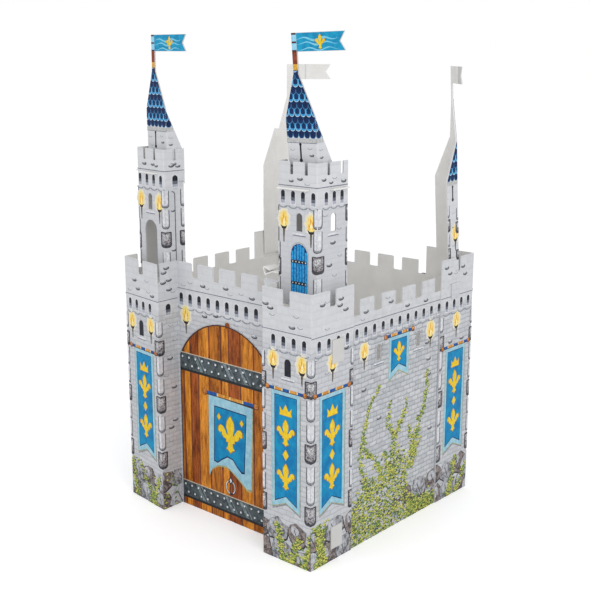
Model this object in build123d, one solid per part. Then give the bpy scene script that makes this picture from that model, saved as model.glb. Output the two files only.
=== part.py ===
"""A play castle of printed corrugated card: folded wall sheets, four corner towers,
two crowned front turrets, four folded spires with flags, and the cards that brace the turrets."""
from build123d import *
import math
import os

# All sizes are in millimetres. The gate looks towards -Y and +Z is up.

# Board and folds
board = 3.0
fold_inside = 0.8
slip = 0.3
corner_round = 4.0

# Castle walls, laid out on a square plan
castle_width = 722.0
tower_width = 164.0
gate_recess = 74.0
tower_top = 723.0
wall_top = 678.0
battlement_depth = 41.0
left_tower_turn = 8.0

# Battlements
tower_slot = 24.0
gate_merlons = 5
gate_notch = 24.0
wall_merlons = 4
wall_merlon = 60.0
wall_notch = 32.0
fold_slot = 9.0
fold_slot_depth = 53.0

# Gate, cut in the gate wall and folded at its foot
gate_width = 362.0
gate_offset = -12.0
gate_top = 569.0
gate_arch_radius = 200.0
gate_sill = 8.0
gate_pull = 11.0
foot_notch = 12.0
foot_notch_place = 4.0
knife_cut = 1.2

# Side walls and the tabs that lock them to the front towers
wall_lap = 100.0
lock_tab_width = 44.0
lock_tab_drop = 61.0
lock_tab_inset = 64.0
lock_tab_heights = (593.0, 92.0)
wall_window_foot = 499.0
wall_window_places = (-84.0, 96.0)

# Turrets that rise out of the front towers
turret_width = 125.0
turret_side = 117.0
turret_return = 36.0
right_turret_front_gap = 52.0
left_turret_front_gap = 46.0
left_turret_turn = 6.0
turret_side_gap = 28.0
turret_in_tower = 51.0
turret_top = 1030.0
crown_foot = 942.0
crown_return = 70.0
crown_notch = 10.0
crown_notch_depth = 31.0
crown_notches_front = (43.0, 90.0)
crown_notches_side = (43.0, 94.0)
crown_notch_return = 36.0
crown_round = 8.0

# Windows and doors of the turrets
window_width = 20.0
window_foot = 861.0
window_top = 906.0
window_place = 68.0
side_window_place = 62.0
door_width = 57.0
door_foot = 700.0
door_top = 832.0

# The lug that hangs each turret on its tower: on the gate side at the right, on the outer side at the left
lug_width = 14.0
right_lug_from_gate = 4.0
left_lug_place = 43.0

# Spires: a middle panel with a wing folded back on each side
spire_middle = 95.0
spire_wing = 52.0
spire_slope_height = 101.0
spire_wing_slope = 110.0
spire_tip_width = 16.0
pole_width = 15.5

# Front spires, through the folded slot of the brace in the crown; the outer wing's end stands on it, and the
# wing beside the gate goes on down as a leg
front_spire_shoulder = 1135.0
front_spire_foot = 915.0
left_leg_foot = 690.0
spire_ledge = 5.0
front_pole_height = 96.0
front_pole_offset = 6.2
front_flag_height = 43.5
front_flag_length = 154.0
right_spire_front_gap = 18.0
right_spire_side_gap = 7.0
right_spire_side_lean = 1.3
right_spire_front_lean = 4.0
left_spire_front_gap = 14.0
left_spire_side_gap = 3.0
left_spire_turn = 2.0

# Back spires stand across the back corners and lean inwards
back_spire_shoulder = 1050.0
back_spire_foot = 650.0
back_pole_height = 99.0
back_spire_step = 13.0
back_flag_height = 46.0
back_flag_length = 130.0
back_spire_lean = 3.0
back_tab_width = 39.0
back_tab_drop = 42.0
back_slot_width = 50.0
flag_cut = 15.0

# Brace in the crown of each turret
upper_brace_top = 966.0
brace_reach = 113.0
brace_inner_reach = 74.0
right_front_tab = 95.0
right_front_tab_inset = 5.0
left_front_tab = 68.0
left_front_tab_inset = 29.0
front_tab_out = 13.0
side_tab = 64.0
right_side_tab_place = 45.0
right_side_tab_out = 13.0
left_side_tab_place = 8.0
left_side_tab_out = 19.0
brace_slot_play = 0.8

# Brace low in the right turret, with a tab rolled up outside it
lower_brace_over_tower = 24.0
rolled_tab_width = 40.0
rolled_tab_inset = 9.0
rolled_tab_reach = 32.0
roll_sides = (28.0, 26.0, 26.0)
roll_turns = (23.0, 99.0, 124.0)

# Worked out from the sizes above
half = castle_width / 2
turret_foot = tower_top - turret_in_tower
lower_brace_top = tower_top + lower_brace_over_tower
gate_wall = castle_width - 2 * tower_width
inner = half - tower_width
left_corner_back = tower_width * math.tan(math.radians(left_tower_turn))
cut_through = 4 * board
turret_left = half - turret_side_gap - turret_width
turret_right = half - turret_side_gap


def wall_frame(start, end):
    """Frame of a wall that runs from start to end in plan: x along it, y up, z out of its printed face."""
    run = math.hypot(end[0] - start[0], end[1] - start[1])
    along = ((end[0] - start[0]) / run, (end[1] - start[1]) / run, 0)
    outward = (along[1], -along[0], 0)
    return Plane(origin=(start[0], start[1], 0), x_dir=along, z_dir=outward)


def turn_radii(points):
    """Outer fold radius at each corner of a plan line: large where the sheet folds round, small where it folds in."""
    radii = []
    for before, corner, after in zip(points, points[1:], points[2:]):
        turn = ((corner[0] - before[0]) * (after[1] - corner[1])
                - (corner[1] - before[1]) * (after[0] - corner[0]))
        radii.append(fold_inside + board if turn > 0 else fold_inside)
    return radii


def folded_sheet(points, foot, top):
    """A sheet stood on edge and folded along a plan line that gives its printed face."""
    line = FilletPolyline(*points, radius=turn_radii(points))
    section = make_face(line.wire().offset_2d(board, side=Side.LEFT).edges())
    return Pos(0, 0, foot) * extrude(section, amount=top - foot, dir=(0, 0, 1))


def through(frame, face, depth=cut_through):
    """A cutter with the given outline, square through the board of a wall."""
    return extrude(frame * face, amount=depth, both=True)


def block(frame, left, right, low, high, depth=cut_through):
    """A square cutter through the board of a wall."""
    face = Pos((left + right) / 2, (low + high) / 2) * Rectangle(right - left, high - low)
    return through(frame, face, depth)


def notch(frame, left, right, low, top, rounding=corner_round):
    """Cutter of one battlement notch, with the corners of the merlons beside it rounded over."""
    flare = rounding + 1
    outline = Polyline(
        (left - flare, top + flare), (left - flare, top), (left, top), (left, low),
        (right, low), (right, top), (right + flare, top), (right + flare, top + flare), close=True)
    face = make_face(outline)
    soft = [v for v in face.vertices() if left - 0.1 < v.X < right + 0.1]
    return through(frame, fillet(soft, rounding))


def side_notch(frame, left, right, low, top):
    """Cutter of a notch that ends against a taller merlon or a fold, square at that side."""
    face = Pos((left + right) / 2, (low + top) / 2 + corner_round) * Rectangle(right - left, top - low + 2 * corner_round)
    soft = face.vertices().sort_by(Axis.Y)[:2]
    return through(frame, fillet(soft, corner_round / 2))


def arch(width, foot, top, centre):
    """Flat outline of a round-headed door or window."""
    radius = width / 2
    return (Pos(centre, (foot + top - radius) / 2) * Rectangle(width, top - radius - foot)
            + Pos(centre, top - radius) * Circle(radius))


def low_arch(width, foot, top, radius, centre):
    """Flat outline of a wide door whose head is a low arc."""
    strip = Pos(centre, (foot + top) / 2) * Rectangle(width, top - foot)
    bottom = Pos(centre, (foot + top - radius) / 2) * Rectangle(2 * radius, top - radius - foot)
    return strip & (bottom + Pos(centre, top - radius) * Circle(radius))


def wall_battlements(frame, start):
    """Cutters of the lower battlements between two towers, from the tower's edge at start."""
    notches = wall_merlons - 1
    end_notch = (gate_wall - wall_merlons * wall_merlon - notches * wall_notch) / 2
    low = wall_top - battlement_depth
    first = start + end_notch
    cutters = [block(frame, start, start + gate_wall, wall_top, tower_top + board)]
    cutters.append(block(frame, start, first, low, wall_top + board))
    cutters.append(block(frame, start + gate_wall - end_notch, start + gate_wall, low, wall_top + board))
    for i in range(notches):
        left = first + wall_merlon + i * (wall_merlon + wall_notch)
        cutters.append(notch(frame, left, left + wall_notch, low, wall_top))
    return cutters


def tower_slot_cutter(frame, face_width):
    """Cutter of the single slot in the top of a tower face."""
    middle = face_width / 2
    low = tower_top - battlement_depth
    return notch(frame, middle - tower_slot / 2, middle + tower_slot / 2, low, tower_top)


def gate_cut():
    """The knife line round the gate: up both sides and over the top, with a pull at the crown."""
    centre = gate_wall / 2 + gate_offset
    leaf = low_arch(gate_width, gate_sill, gate_top, gate_arch_radius, centre)
    leaf += Pos(gate_wall / 2, gate_top) * Circle(gate_pull)
    cut = offset(leaf, knife_cut) - leaf
    return cut - Pos(centre, 0) * Rectangle(2 * gate_width, 2 * gate_sill)


def front_wall():
    """Left tower, gate wall and right tower, folded from one sheet."""
    back_edge = -half + tower_width
    gate_y = -half + gate_recess
    points = [(-half, back_edge), (-half, -half + left_corner_back), (-inner, -half), (-inner, gate_y),
              (inner, gate_y), (inner, -half), (half, -half), (half, back_edge)]
    side, left_face, left_return, gate, right_return, right_face, right_side = (
        wall_frame(a, b) for a, b in zip(points, points[1:]))
    sheet = folded_sheet(points, 0, tower_top)
    left_face_width = math.hypot(tower_width, left_corner_back)
    cutters = [tower_slot_cutter(left_face, left_face_width),
               tower_slot_cutter(right_face, tower_width),
               tower_slot_cutter(right_side, tower_width),
               tower_slot_cutter(side, tower_width)]
    merlon = (gate_wall - (gate_merlons - 1) * gate_notch) / gate_merlons
    for i in range(gate_merlons - 1):
        left = merlon + i * (merlon + gate_notch)
        cutters.append(notch(gate, left, left + gate_notch, tower_top - battlement_depth, tower_top))
    low = tower_top - fold_slot_depth
    cutters.append(side_notch(left_return, board, board + fold_slot, low, tower_top))
    cutters.append(side_notch(right_return, gate_recess - board - fold_slot, gate_recess - board, low, tower_top))
    cutters.append(through(gate, gate_cut()))
    cutters.append(through(gate, Pos(gate_wall / 2 + foot_notch_place, 0) * Circle(foot_notch)))
    cutters += [turret_lug(1, slip), turn_left(turret_lug(-1, slip))]
    for frame, middle in ((right_side, tower_width - lock_tab_inset), (side, lock_tab_inset)):
        for height in lock_tab_heights:
            cutters.append(block(frame, middle - lock_tab_width / 2 - slip, middle + lock_tab_width / 2 + slip,
                                 height - slip, height + board + slip, 2 * board))
    return sheet - cutters


def back_wall():
    """Right tower, back wall and left tower, folded from one sheet."""
    front_edge = half - tower_width
    points = [(half, front_edge), (half, half), (-half, half), (-half, front_edge)]
    right_side, back, left_side = (wall_frame(a, b) for a, b in zip(points, points[1:]))
    cutters = [tower_slot_cutter(right_side, tower_width), tower_slot_cutter(left_side, tower_width)]
    cutters += wall_battlements(back, tower_width)
    cutters.append(notch(back, tower_width / 2 - tower_slot / 2, tower_width / 2 + tower_slot / 2,
                         tower_top - battlement_depth, tower_top))
    far = castle_width - tower_width / 2
    cutters.append(notch(back, far - tower_slot / 2, far + tower_slot / 2,
                         tower_top - battlement_depth, tower_top))
    from_corner = back_tab_from_corner()
    places = ((right_side, tower_width - from_corner), (back, from_corner),
              (back, castle_width - from_corner), (left_side, from_corner))
    for frame, middle in places:
        cutters.append(block(frame, middle - back_slot_width / 2, middle + back_slot_width / 2,
                             back_spire_foot - board - slip, back_spire_foot + slip, 2 * board))
    return folded_sheet(points, 0, tower_top) - cutters


def side_wall(sign):
    """One side wall, tucked behind the tower faces, with two tabs locked through the front tower."""
    x = sign * (half - board - slip)
    reach = inner + wall_lap
    ends = ((x, -reach), (x, reach)) if sign > 0 else ((x, reach), (x, -reach))
    frame = wall_frame(*ends)
    sheet = folded_sheet_flat(ends, 0, wall_top)
    cutters = wall_battlements(frame, wall_lap)
    lap_top = wall_top - battlement_depth
    for start in (-board, wall_lap + gate_wall):
        cutters.append(block(frame, start, start + wall_lap + board, lap_top, wall_top + board))
    middle = wall_lap - lock_tab_inset if sign > 0 else wall_lap + gate_wall + lock_tab_inset
    for height in lock_tab_heights:
        window = Pos(middle, height + board - lock_tab_drop / 2) * Rectangle(lock_tab_width, lock_tab_drop)
        cutters.append(through(frame, window))
    height = window_top - window_foot
    for place in wall_window_places:
        centre = reach + sign * place
        cutters.append(through(frame, arch(window_width, wall_window_foot, wall_window_foot + height, centre)))
    sheet = sheet - cutters
    printed = sign * half
    face = wall_frame((printed, ends[0][1]), (printed, ends[1][1]))
    for height in lock_tab_heights:
        sheet += lock_tab(face, middle, height)
    return sheet


def lock_tab(face, middle, height):
    """The side wall's own tab, pushed out through the tower's slot and hanging on its face."""
    depth = 2 * board + 2 * slip + board
    bridge = Pos(middle, height + board / 2) * Rectangle(lock_tab_width, board)
    leaf = Pos(middle, height + board - lock_tab_drop / 2) * Rectangle(lock_tab_width, lock_tab_drop)
    outside = Pos(0, 0, slip) * extrude(leaf, amount=board)
    inside = Pos(0, 0, slip + board - depth) * extrude(bridge, amount=depth)
    return face * (outside + inside)


def folded_sheet_flat(ends, foot, top):
    """A flat sheet stood on edge, with its printed face on the line between two plan points."""
    frame = wall_frame(*ends)
    run = math.hypot(ends[1][0] - ends[0][0], ends[1][1] - ends[0][1])
    face = Pos(run / 2, (foot + top) / 2) * Rectangle(run, top - foot)
    return extrude(frame * face, amount=-board)


def back_tab_from_corner():
    """Distance from a back corner to the middle of the wing that carries a back spire's tab."""
    return board + slip + spire_middle / math.sqrt(2) + spire_wing / 2


def turret(sign):
    """One front turret: front, outer side and short inner return, with a wider crown."""
    left, right = turret_span(sign)
    front_y = turret_front(sign)
    if sign > 0:
        points = [(left, front_y + crown_return), (left, front_y), (right, front_y), (right, front_y + turret_side)]
    else:
        points = [(left, front_y + turret_side), (left, front_y), (right, front_y), (right, front_y + crown_return)]
    first, front, last = (wall_frame(a, b) for a, b in zip(points, points[1:]))
    inward, outer = (first, last) if sign > 0 else (last, first)
    sheet = folded_sheet(points, turret_foot, turret_top)
    cutters = []
    for place in crown_notches_front:
        cutters.append(crown_notch_cutter(front, from_inner(sign, place, turret_width)))
    for place in crown_notches_side:
        cutters.append(crown_notch_cutter(outer, from_inner(sign, place, turret_side)))
    cutters.append(crown_notch_cutter(inward, from_inner(-sign, crown_notch_return, crown_return)))
    spare = crown_return - turret_return
    far = from_inner(-sign, turret_return + spare / 2, crown_return)
    waste = Pos(far, (turret_foot + crown_foot) / 2 - board) * Rectangle(spare, crown_foot - turret_foot + 2 * board)
    rounded = fillet(waste.vertices().sort_by(Axis.Y)[-2:], crown_round)
    cutters.append(through(inward, rounded))
    middle = from_inner(sign, window_place, turret_width)
    cutters.append(through(front, arch(window_width, window_foot, window_top, middle)))
    side_middle = from_inner(sign, side_window_place, turret_side)
    cutters.append(through(outer, arch(window_width, window_foot, window_top, side_middle)))
    door = arch(door_width, door_foot, door_top, middle)
    if sign < 0:
        cutters.append(through(front, door))
    else:
        hinge = Pos(middle - door_width / 2, (door_foot + door_top) / 2) * Rectangle(6 * knife_cut, door_top)
        cutters.append(through(front, offset(door, knife_cut) - door - hinge))
    cutters += brace_slots(sign, front, outer, inward)
    return sheet - cutters + turret_lug(sign)


def turret_front(sign):
    """Plan position of a turret's printed front."""
    return -half + (right_turret_front_gap if sign > 0 else left_turret_front_gap)


def from_inner(sign, place, run):
    """A place measured from a panel's start, or for a mirrored panel from its end."""
    return place if sign > 0 else run - place


def turret_span(sign):
    """Plan positions of a turret's left and right folds."""
    return (turret_left, turret_right) if sign > 0 else (-turret_right, -turret_left)


def crown_notch_cutter(frame, middle):
    """Cutter of one narrow notch of the crown."""
    low = turret_top - crown_notch_depth
    return notch(frame, middle - crown_notch / 2, middle + crown_notch / 2, low, turret_top, corner_round / 2)


def turret_lug(sign, play=0.0):
    """Lug bent out of the foot of a turret, which hangs it in a slot of its tower, or with play the slot."""
    if sign > 0:
        inside, outside = turret_left + board, inner
        middle = -half + gate_recess - right_lug_from_gate - lug_width / 2
    else:
        inside, outside = board - turret_right, -half - board
        middle = turret_front(sign) + left_lug_place + lug_width / 2
    reach = abs(inside - outside) + (2 * board if play else 0)
    lug = Box(reach, lug_width + 2 * play, board + 2 * play)
    return Pos((inside + outside) / 2, middle, turret_foot + board / 2) * lug


def upper_tabs(sign):
    """Front tab's distance from the inner fold and its width, side tab's distance from the front fold and reach."""
    if sign > 0:
        return right_front_tab_inset, right_front_tab, right_side_tab_place, right_side_tab_out
    return left_front_tab_inset, left_front_tab, left_side_tab_place, left_side_tab_out


def brace_slots(sign, front, outer, inward):
    """Cutters of the slots that the braces' tabs come out of."""
    low = upper_brace_top - board - slip
    high = upper_brace_top + slip
    inset, width, place, _ = upper_tabs(sign)
    half_tab = width / 2 + slip
    middle = from_inner(sign, inset + width / 2, turret_width)
    cutters = [block(front, middle - half_tab, middle + half_tab, low, high)]
    half_tab = side_tab / 2 + slip
    middle = from_inner(sign, place + side_tab / 2, turret_side)
    cutters.append(block(outer, middle - half_tab, middle + half_tab, low, high))
    if sign > 0:
        fold = crown_return - rolled_tab_inset
        cutters.append(block(inward, crown_return - turret_return - board, fold + slip,
                             lower_brace_top - board - slip, lower_brace_top + slip))
    return cutters


def spire_plan_front(sign):
    """Plan line of a front spire at the upper brace: left wing, middle, right wing."""
    right = turret_span(sign)[1]
    fold = right - board - (right_spire_side_gap if sign > 0 else left_spire_side_gap)
    front = turret_front(sign) + board + (right_spire_front_gap if sign > 0 else left_spire_front_gap)
    return [(fold - spire_middle, front + spire_wing), (fold - spire_middle, front),
            (fold, front), (fold, front + spire_wing)]


def stand_spire(sign, shape):
    """The right spire leans forwards and to the left, and the left one is turned about its right fold."""
    points = spire_plan_front(sign)
    if sign > 0:
        centre = ((points[1][0] + points[2][0]) / 2, points[1][1], upper_brace_top)
        leaning = shape.rotate(Axis(centre, (0, 1, 0)), -right_spire_side_lean)
        return leaning.rotate(Axis(centre, (1, 0, 0)), right_spire_front_lean)
    return shape.rotate(Axis((points[2][0], points[2][1], 0), (0, 0, 1)), -left_spire_turn)


def spire_plan_back():
    """Plan line of the spire across the back right corner."""
    face = half - board - slip
    leg = spire_middle / math.sqrt(2)
    return [(face, face - leg - spire_wing), (face, face - leg), (face - leg, face), (face - leg - spire_wing, face)]


def spire(points, foot, shoulder, gable):
    """A folded spire: two wings with sloping tops, and a middle panel that ends in the given gable."""
    first, middle, last = (wall_frame(a, b) for a, b in zip(points, points[1:]))
    sheet = folded_sheet(points, foot, shoulder)
    for frame, fold_at in ((first, spire_wing), (last, 0)):
        free = spire_wing - fold_at
        slope = make_face(Polyline((fold_at, shoulder), (free, shoulder - spire_wing_slope),
                                   (free + (free - fold_at), shoulder - spire_wing_slope),
                                   (free + (free - fold_at), shoulder + board), (fold_at, shoulder + board),
                                   close=True))
        sheet -= through(frame, slope)
    return sheet + middle * Pos(0, 0, -board) * extrude(gable, amount=board)


def front_gable():
    """Gable, pole and swallow-tailed flag of a front spire; the pole stands to the left of the middle."""
    shoulder = front_spire_shoulder
    tip = shoulder + spire_slope_height
    top = tip + front_pole_height
    centre = spire_middle / 2
    pole = centre - front_pole_offset
    edge = centre - fold_inside
    flag_low = top - front_flag_height
    return make_face(Polyline(
        (centre - edge, shoulder - board), (centre - edge, shoulder), (pole - spire_tip_width / 2, tip),
        (pole - pole_width / 2, tip), (pole - pole_width / 2, top), (pole + front_flag_length, top),
        (pole + front_flag_length - flag_cut, top - front_flag_height / 2), (pole + front_flag_length, flag_low),
        (pole + pole_width / 2, flag_low), (pole + pole_width / 2, tip), (pole + spire_tip_width / 2, tip),
        (centre + edge, shoulder), (centre + edge, shoulder - board), close=True))


def back_gable():
    """Gable, pole and flag of a back spire: the flag points left, and the gable steps in at its right foot."""
    shoulder = back_spire_shoulder
    tip = shoulder + spire_slope_height
    top = tip + back_pole_height
    centre = spire_middle / 2
    edge = centre - fold_inside
    flag_low = top - back_flag_height
    return make_face(Polyline(
        (centre + edge, shoulder - board), (centre + edge, shoulder), (centre + edge - back_spire_step, shoulder),
        (centre + spire_tip_width / 2, tip), (centre + pole_width / 2, tip), (centre + pole_width / 2, top),
        (centre - back_flag_length, top), (centre - back_flag_length + flag_cut, top - back_flag_height / 2),
        (centre - back_flag_length, flag_low), (centre - pole_width / 2, flag_low), (centre - pole_width / 2, tip),
        (centre - spire_tip_width / 2, tip), (centre - edge, shoulder), (centre - edge, shoulder - board),
        close=True))


def front_spire(sign):
    """A front spire: its outer wing stands on the upper brace, and its inner one goes down as a leg."""
    points = spire_plan_front(sign)
    fold, front = points[1] if sign > 0 else points[2]
    sheet = spire(points, left_leg_foot, front_spire_shoulder, front_gable())
    below = Box(2 * spire_middle + 4 * board, 3 * spire_wing, front_spire_foot - left_leg_foot + board,
                align=(Align.CENTER, Align.CENTER, Align.MAX))
    leg = Box(4 * board, 2 * spire_wing, 2 * front_spire_foot, align=(Align.CENTER, Align.MIN, Align.CENTER))
    sheet -= Pos(fold, front, front_spire_foot) * below - Pos(fold, front + 2 * board, front_spire_foot) * leg
    outer_fold = points[2][0] if sign > 0 else points[1][0]
    end = Box(4 * board, 2 * spire_wing, 2 * upper_brace_top, align=(Align.CENTER, Align.MIN, Align.CENTER))
    end = stand_spire(sign, Pos(outer_fold, points[0][1] - spire_ledge, upper_brace_top) * end)
    sheet = stand_spire(sign, sheet) - (end & level_below(upper_brace_top + slip))
    return sheet - level_below(lower_brace_top + slip) if sign > 0 else sheet


def level_below(height):
    """Everything under a height."""
    return Box(2 * castle_width, 2 * castle_width, height, align=(Align.CENTER, Align.CENTER, Align.MIN))


def back_spire():
    """The spire across the back right corner, with a tab through each wall at its foot."""
    points = spire_plan_back()
    sheet = spire(points, back_spire_foot - board, back_spire_shoulder, back_gable())
    (x0, y0), (x1, y1) = points[1], points[2]
    foot_line = Axis(((x0 + x1) / 2, (y0 + y1) / 2, back_spire_foot), (x0 - x1, y0 - y1, 0))
    sheet = sheet.rotate(foot_line, back_spire_lean)
    corner = (half, half)
    from_corner = back_tab_from_corner()
    right_face = wall_frame((half, 0), corner)
    back_face = wall_frame(corner, (0, half))
    for face, middle in ((right_face, half - from_corner), (back_face, from_corner)):
        leaf = Pos(middle, back_spire_foot - back_tab_drop / 2) * Rectangle(back_tab_width, back_tab_drop)
        bridge = Pos(middle, back_spire_foot - board / 2) * Rectangle(back_tab_width, board)
        depth = 3 * board + 2 * slip
        sheet += face * Pos(0, 0, slip) * extrude(leaf, amount=board)
        sheet += face * Pos(0, 0, slip + board - depth) * extrude(bridge, amount=depth)
    return sheet


def brace_plate(sign, front_y):
    """The part of a brace that fills a turret's plan, behind the given front line."""
    left, right = turret_span(sign)
    x0 = left + board + slip
    x1 = right - board - slip
    near, far = turret_front(sign) + brace_inner_reach, turret_front(sign) + brace_reach
    left_back, right_back = (near, far) if sign > 0 else (far, near)
    return make_face(Polyline((x0, front_y), (x1, front_y), (x1, right_back), (x0, left_back), close=True))


def spire_slot(sign):
    """Cutter of the folded slot that a front spire stands in."""
    points = spire_plan_front(sign)
    play = board + 2 * brace_slot_play
    x_left = points[1][0] - brace_slot_play
    x_right = points[2][0] + brace_slot_play
    y_front = points[1][1] - brace_slot_play
    y_back = points[0][1] + brace_slot_play
    slot = Pos((x_left + x_right) / 2, y_front + play / 2) * Rectangle(x_right - x_left, play)
    for x, outer in ((x_left + play / 2, sign < 0), (x_right - play / 2, sign > 0)):
        end = y_back - spire_ledge if outer else y_back
        slot += Pos(x, (y_front + end) / 2) * Rectangle(play, end - y_front)
    return stand_spire(sign, Pos(0, 0, upper_brace_top) * extrude(slot, amount=cut_through, both=True))


def upper_brace(sign):
    """Upper brace: tabs through the front and outer side, and a folded slot that holds the spire."""
    left, right = turret_span(sign)
    inside = turret_front(sign) + board + slip
    card = brace_plate(sign, inside)
    inset, width, place, side_out = upper_tabs(sign)
    tab_middle = left + from_inner(sign, inset + width / 2, turret_width)
    out = front_tab_out + board + slip
    card += Pos(tab_middle, inside - out / 2) * Rectangle(width, out)
    side = right - board - slip if sign > 0 else left + board + slip
    out = side_out + board + slip
    side_y = turret_front(sign) + place + side_tab / 2
    card += Pos(side + sign * out / 2, side_y) * Rectangle(out, side_tab)
    return Pos(0, 0, upper_brace_top - board) * extrude(card, amount=board) - spire_slot(sign)


def lower_brace():
    """Lower brace: a level plate across the right turret, held by its tab; the spire's leg stands on it."""
    left = turret_span(1)[0]
    card = brace_plate(1, turret_front(1) + rolled_tab_inset)
    return Pos(0, 0, lower_brace_top - board) * extrude(card, amount=board) + rolled_tab(left)


def rolled_tab(left):
    """The tab of the lower brace: out beside the turret's return, creased and rolled into a tube."""
    low = lower_brace_top - board
    points = [(left + 2 * board, low), (left - rolled_tab_reach, low)]
    heading = 180.0
    for side, turn, hand in zip(roll_sides, roll_turns, (1, -1, -1)):
        heading += hand * turn
        x, z = points[-1]
        points.append((x + side * math.cos(math.radians(heading)), z + side * math.sin(math.radians(heading))))
    far_y = turret_front(1) + rolled_tab_inset + rolled_tab_width
    across = Plane(origin=(0, far_y, 0), x_dir=(1, 0, 0), z_dir=(0, -1, 0))
    return across * folded_sheet(points[::-1], 0, rolled_tab_width)


def turn_left(part):
    """Everything in the front left turret stands turned, nearly as the tower's slanting face is."""
    pivot = Axis((turret_span(-1)[1], turret_front(-1), 0), (0, 0, 1))
    return part.rotate(pivot, -left_turret_turn)


def castle():
    """All the sheets by name, in the castle's own frame."""
    spire_back = back_spire()
    inside_print = Box(castle_width, castle_width, 4 * castle_width)
    return {
        "front_wall": front_wall(),
        "back_wall": back_wall(),
        "right_side_wall": side_wall(1),
        "left_side_wall": side_wall(-1),
        "front_right_turret": turret(1),
        "front_left_turret": turn_left(turret(-1)) & inside_print,
        "front_right_spire": front_spire(1),
        "front_left_spire": turn_left(front_spire(-1)),
        "back_right_spire": spire_back,
        "back_left_spire": spire_back.rotate(Axis.Z, 90),
        "front_right_upper_brace": upper_brace(1),
        "front_left_upper_brace": turn_left(upper_brace(-1)),
        "front_right_lower_brace": lower_brace(),
    }


def main():
    sheets = castle()
    box = Compound(children=[Compound(s.wrapped) for s in sheets.values()]).bounding_box()
    to_origin = Pos(-box.center().X, -box.center().Y, -box.min.Z)
    os.makedirs("parts", exist_ok=True)
    for name, sheet in sheets.items():
        placed = to_origin * sheet
        export_step(placed, f"parts/{name}.step")
        print(name, len(placed.solids()), round(placed.volume))
    print("castle centre at", round(-box.center().X, 2), round(-box.center().Y, 2))


main()
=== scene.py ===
"""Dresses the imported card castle: printed card, stonework, gate, banners, roofs and flags, and a plain studio."""
import math
import random

import bmesh
import bpy
from bpy.props import FloatProperty, IntProperty, PointerProperty, StringProperty
from mathutils import Matrix, Vector


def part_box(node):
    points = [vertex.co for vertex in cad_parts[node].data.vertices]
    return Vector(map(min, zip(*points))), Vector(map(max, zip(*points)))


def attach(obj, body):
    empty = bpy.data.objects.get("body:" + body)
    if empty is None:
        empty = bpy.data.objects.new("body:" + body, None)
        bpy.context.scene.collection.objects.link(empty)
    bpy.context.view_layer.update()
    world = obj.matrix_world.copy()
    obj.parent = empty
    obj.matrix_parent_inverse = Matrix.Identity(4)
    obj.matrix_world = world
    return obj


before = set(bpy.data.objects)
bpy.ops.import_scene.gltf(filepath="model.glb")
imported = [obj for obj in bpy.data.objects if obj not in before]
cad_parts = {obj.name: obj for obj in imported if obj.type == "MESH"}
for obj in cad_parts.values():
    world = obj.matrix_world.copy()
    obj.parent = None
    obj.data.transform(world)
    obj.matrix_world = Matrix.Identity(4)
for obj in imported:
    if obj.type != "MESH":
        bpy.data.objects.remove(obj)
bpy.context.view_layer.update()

bl_info = {
    "name": "Card castle print",
    "version": (1, 0, 0),
    "blender": (4, 5, 0),
    "location": "View3D > Sidebar > Castle",
    "description": "Prints and lights a folded card play castle",
    "category": "Object",
}

MM = 0.001
# Millimetres from the castle's centre: its outer faces, the towers' inner edges, the gate wall and the side walls
HALF, INNER, GATE_Y, WALL_FACE = 361, 197, -287, 357.7
# Widths of a tower's face, of the left tower's side, of the face beside the gate, and of a wall between two towers
TOWER, LEFT_SIDE, RETURN, WALL = 164, 141, 74, 394
# Widths of a turret's front, side and return, and of a spire's middle panel and wings
TURRET_FRONT, TURRET_SIDE, TURRET_RETURN, SPIRE, WING = 125, 117, 70, 95, 52
# From a spire's shoulder up to the foot of its pole
SHOULDER_TO_TIP = 101

# The castle's own centre on the floor, read from the walls, and millimetres from there
low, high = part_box("back_wall")
CENTRE = Vector(((low.x + high.x) / 2, high.y - HALF * MM, 0))
FROM_CASTLE = Matrix.Translation(CENTRE) @ Matrix.Scale(MM, 4)


def turned(point, axis, degrees):
    """A turn about an axis through a point, in millimetres from the castle's centre."""
    there = Matrix.Translation(Vector(point))
    return there @ Matrix.Rotation(math.radians(degrees), 4, Vector(axis)) @ there.inverted()


# How the turned and leaning sheets stand
UPRIGHT = Matrix()
TURRET_TURN = turned((-208, -315, 0), (0, 0, 1), -6)
LEFT_SPIRE_TURN = TURRET_TURN @ turned((-214, -298, 0), (0, 0, 1), -2)
RIGHT_SPIRE_LEAN = turned((275.5, -288, 966), (1, 0, 0), 4) @ turned((275.5, -288, 966), (0, 1, 0), -1.3)
BACK_LEAN = turned((324.1, 324.1, 650), (1, -1, 0), 3)
QUARTER = Matrix.Rotation(math.radians(90), 4, "Z")
BACK_SPIRE = [(WALL_FACE, 238.5), (WALL_FACE, 290.5), (290.5, WALL_FACE), (238.5, WALL_FACE)]

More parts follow.
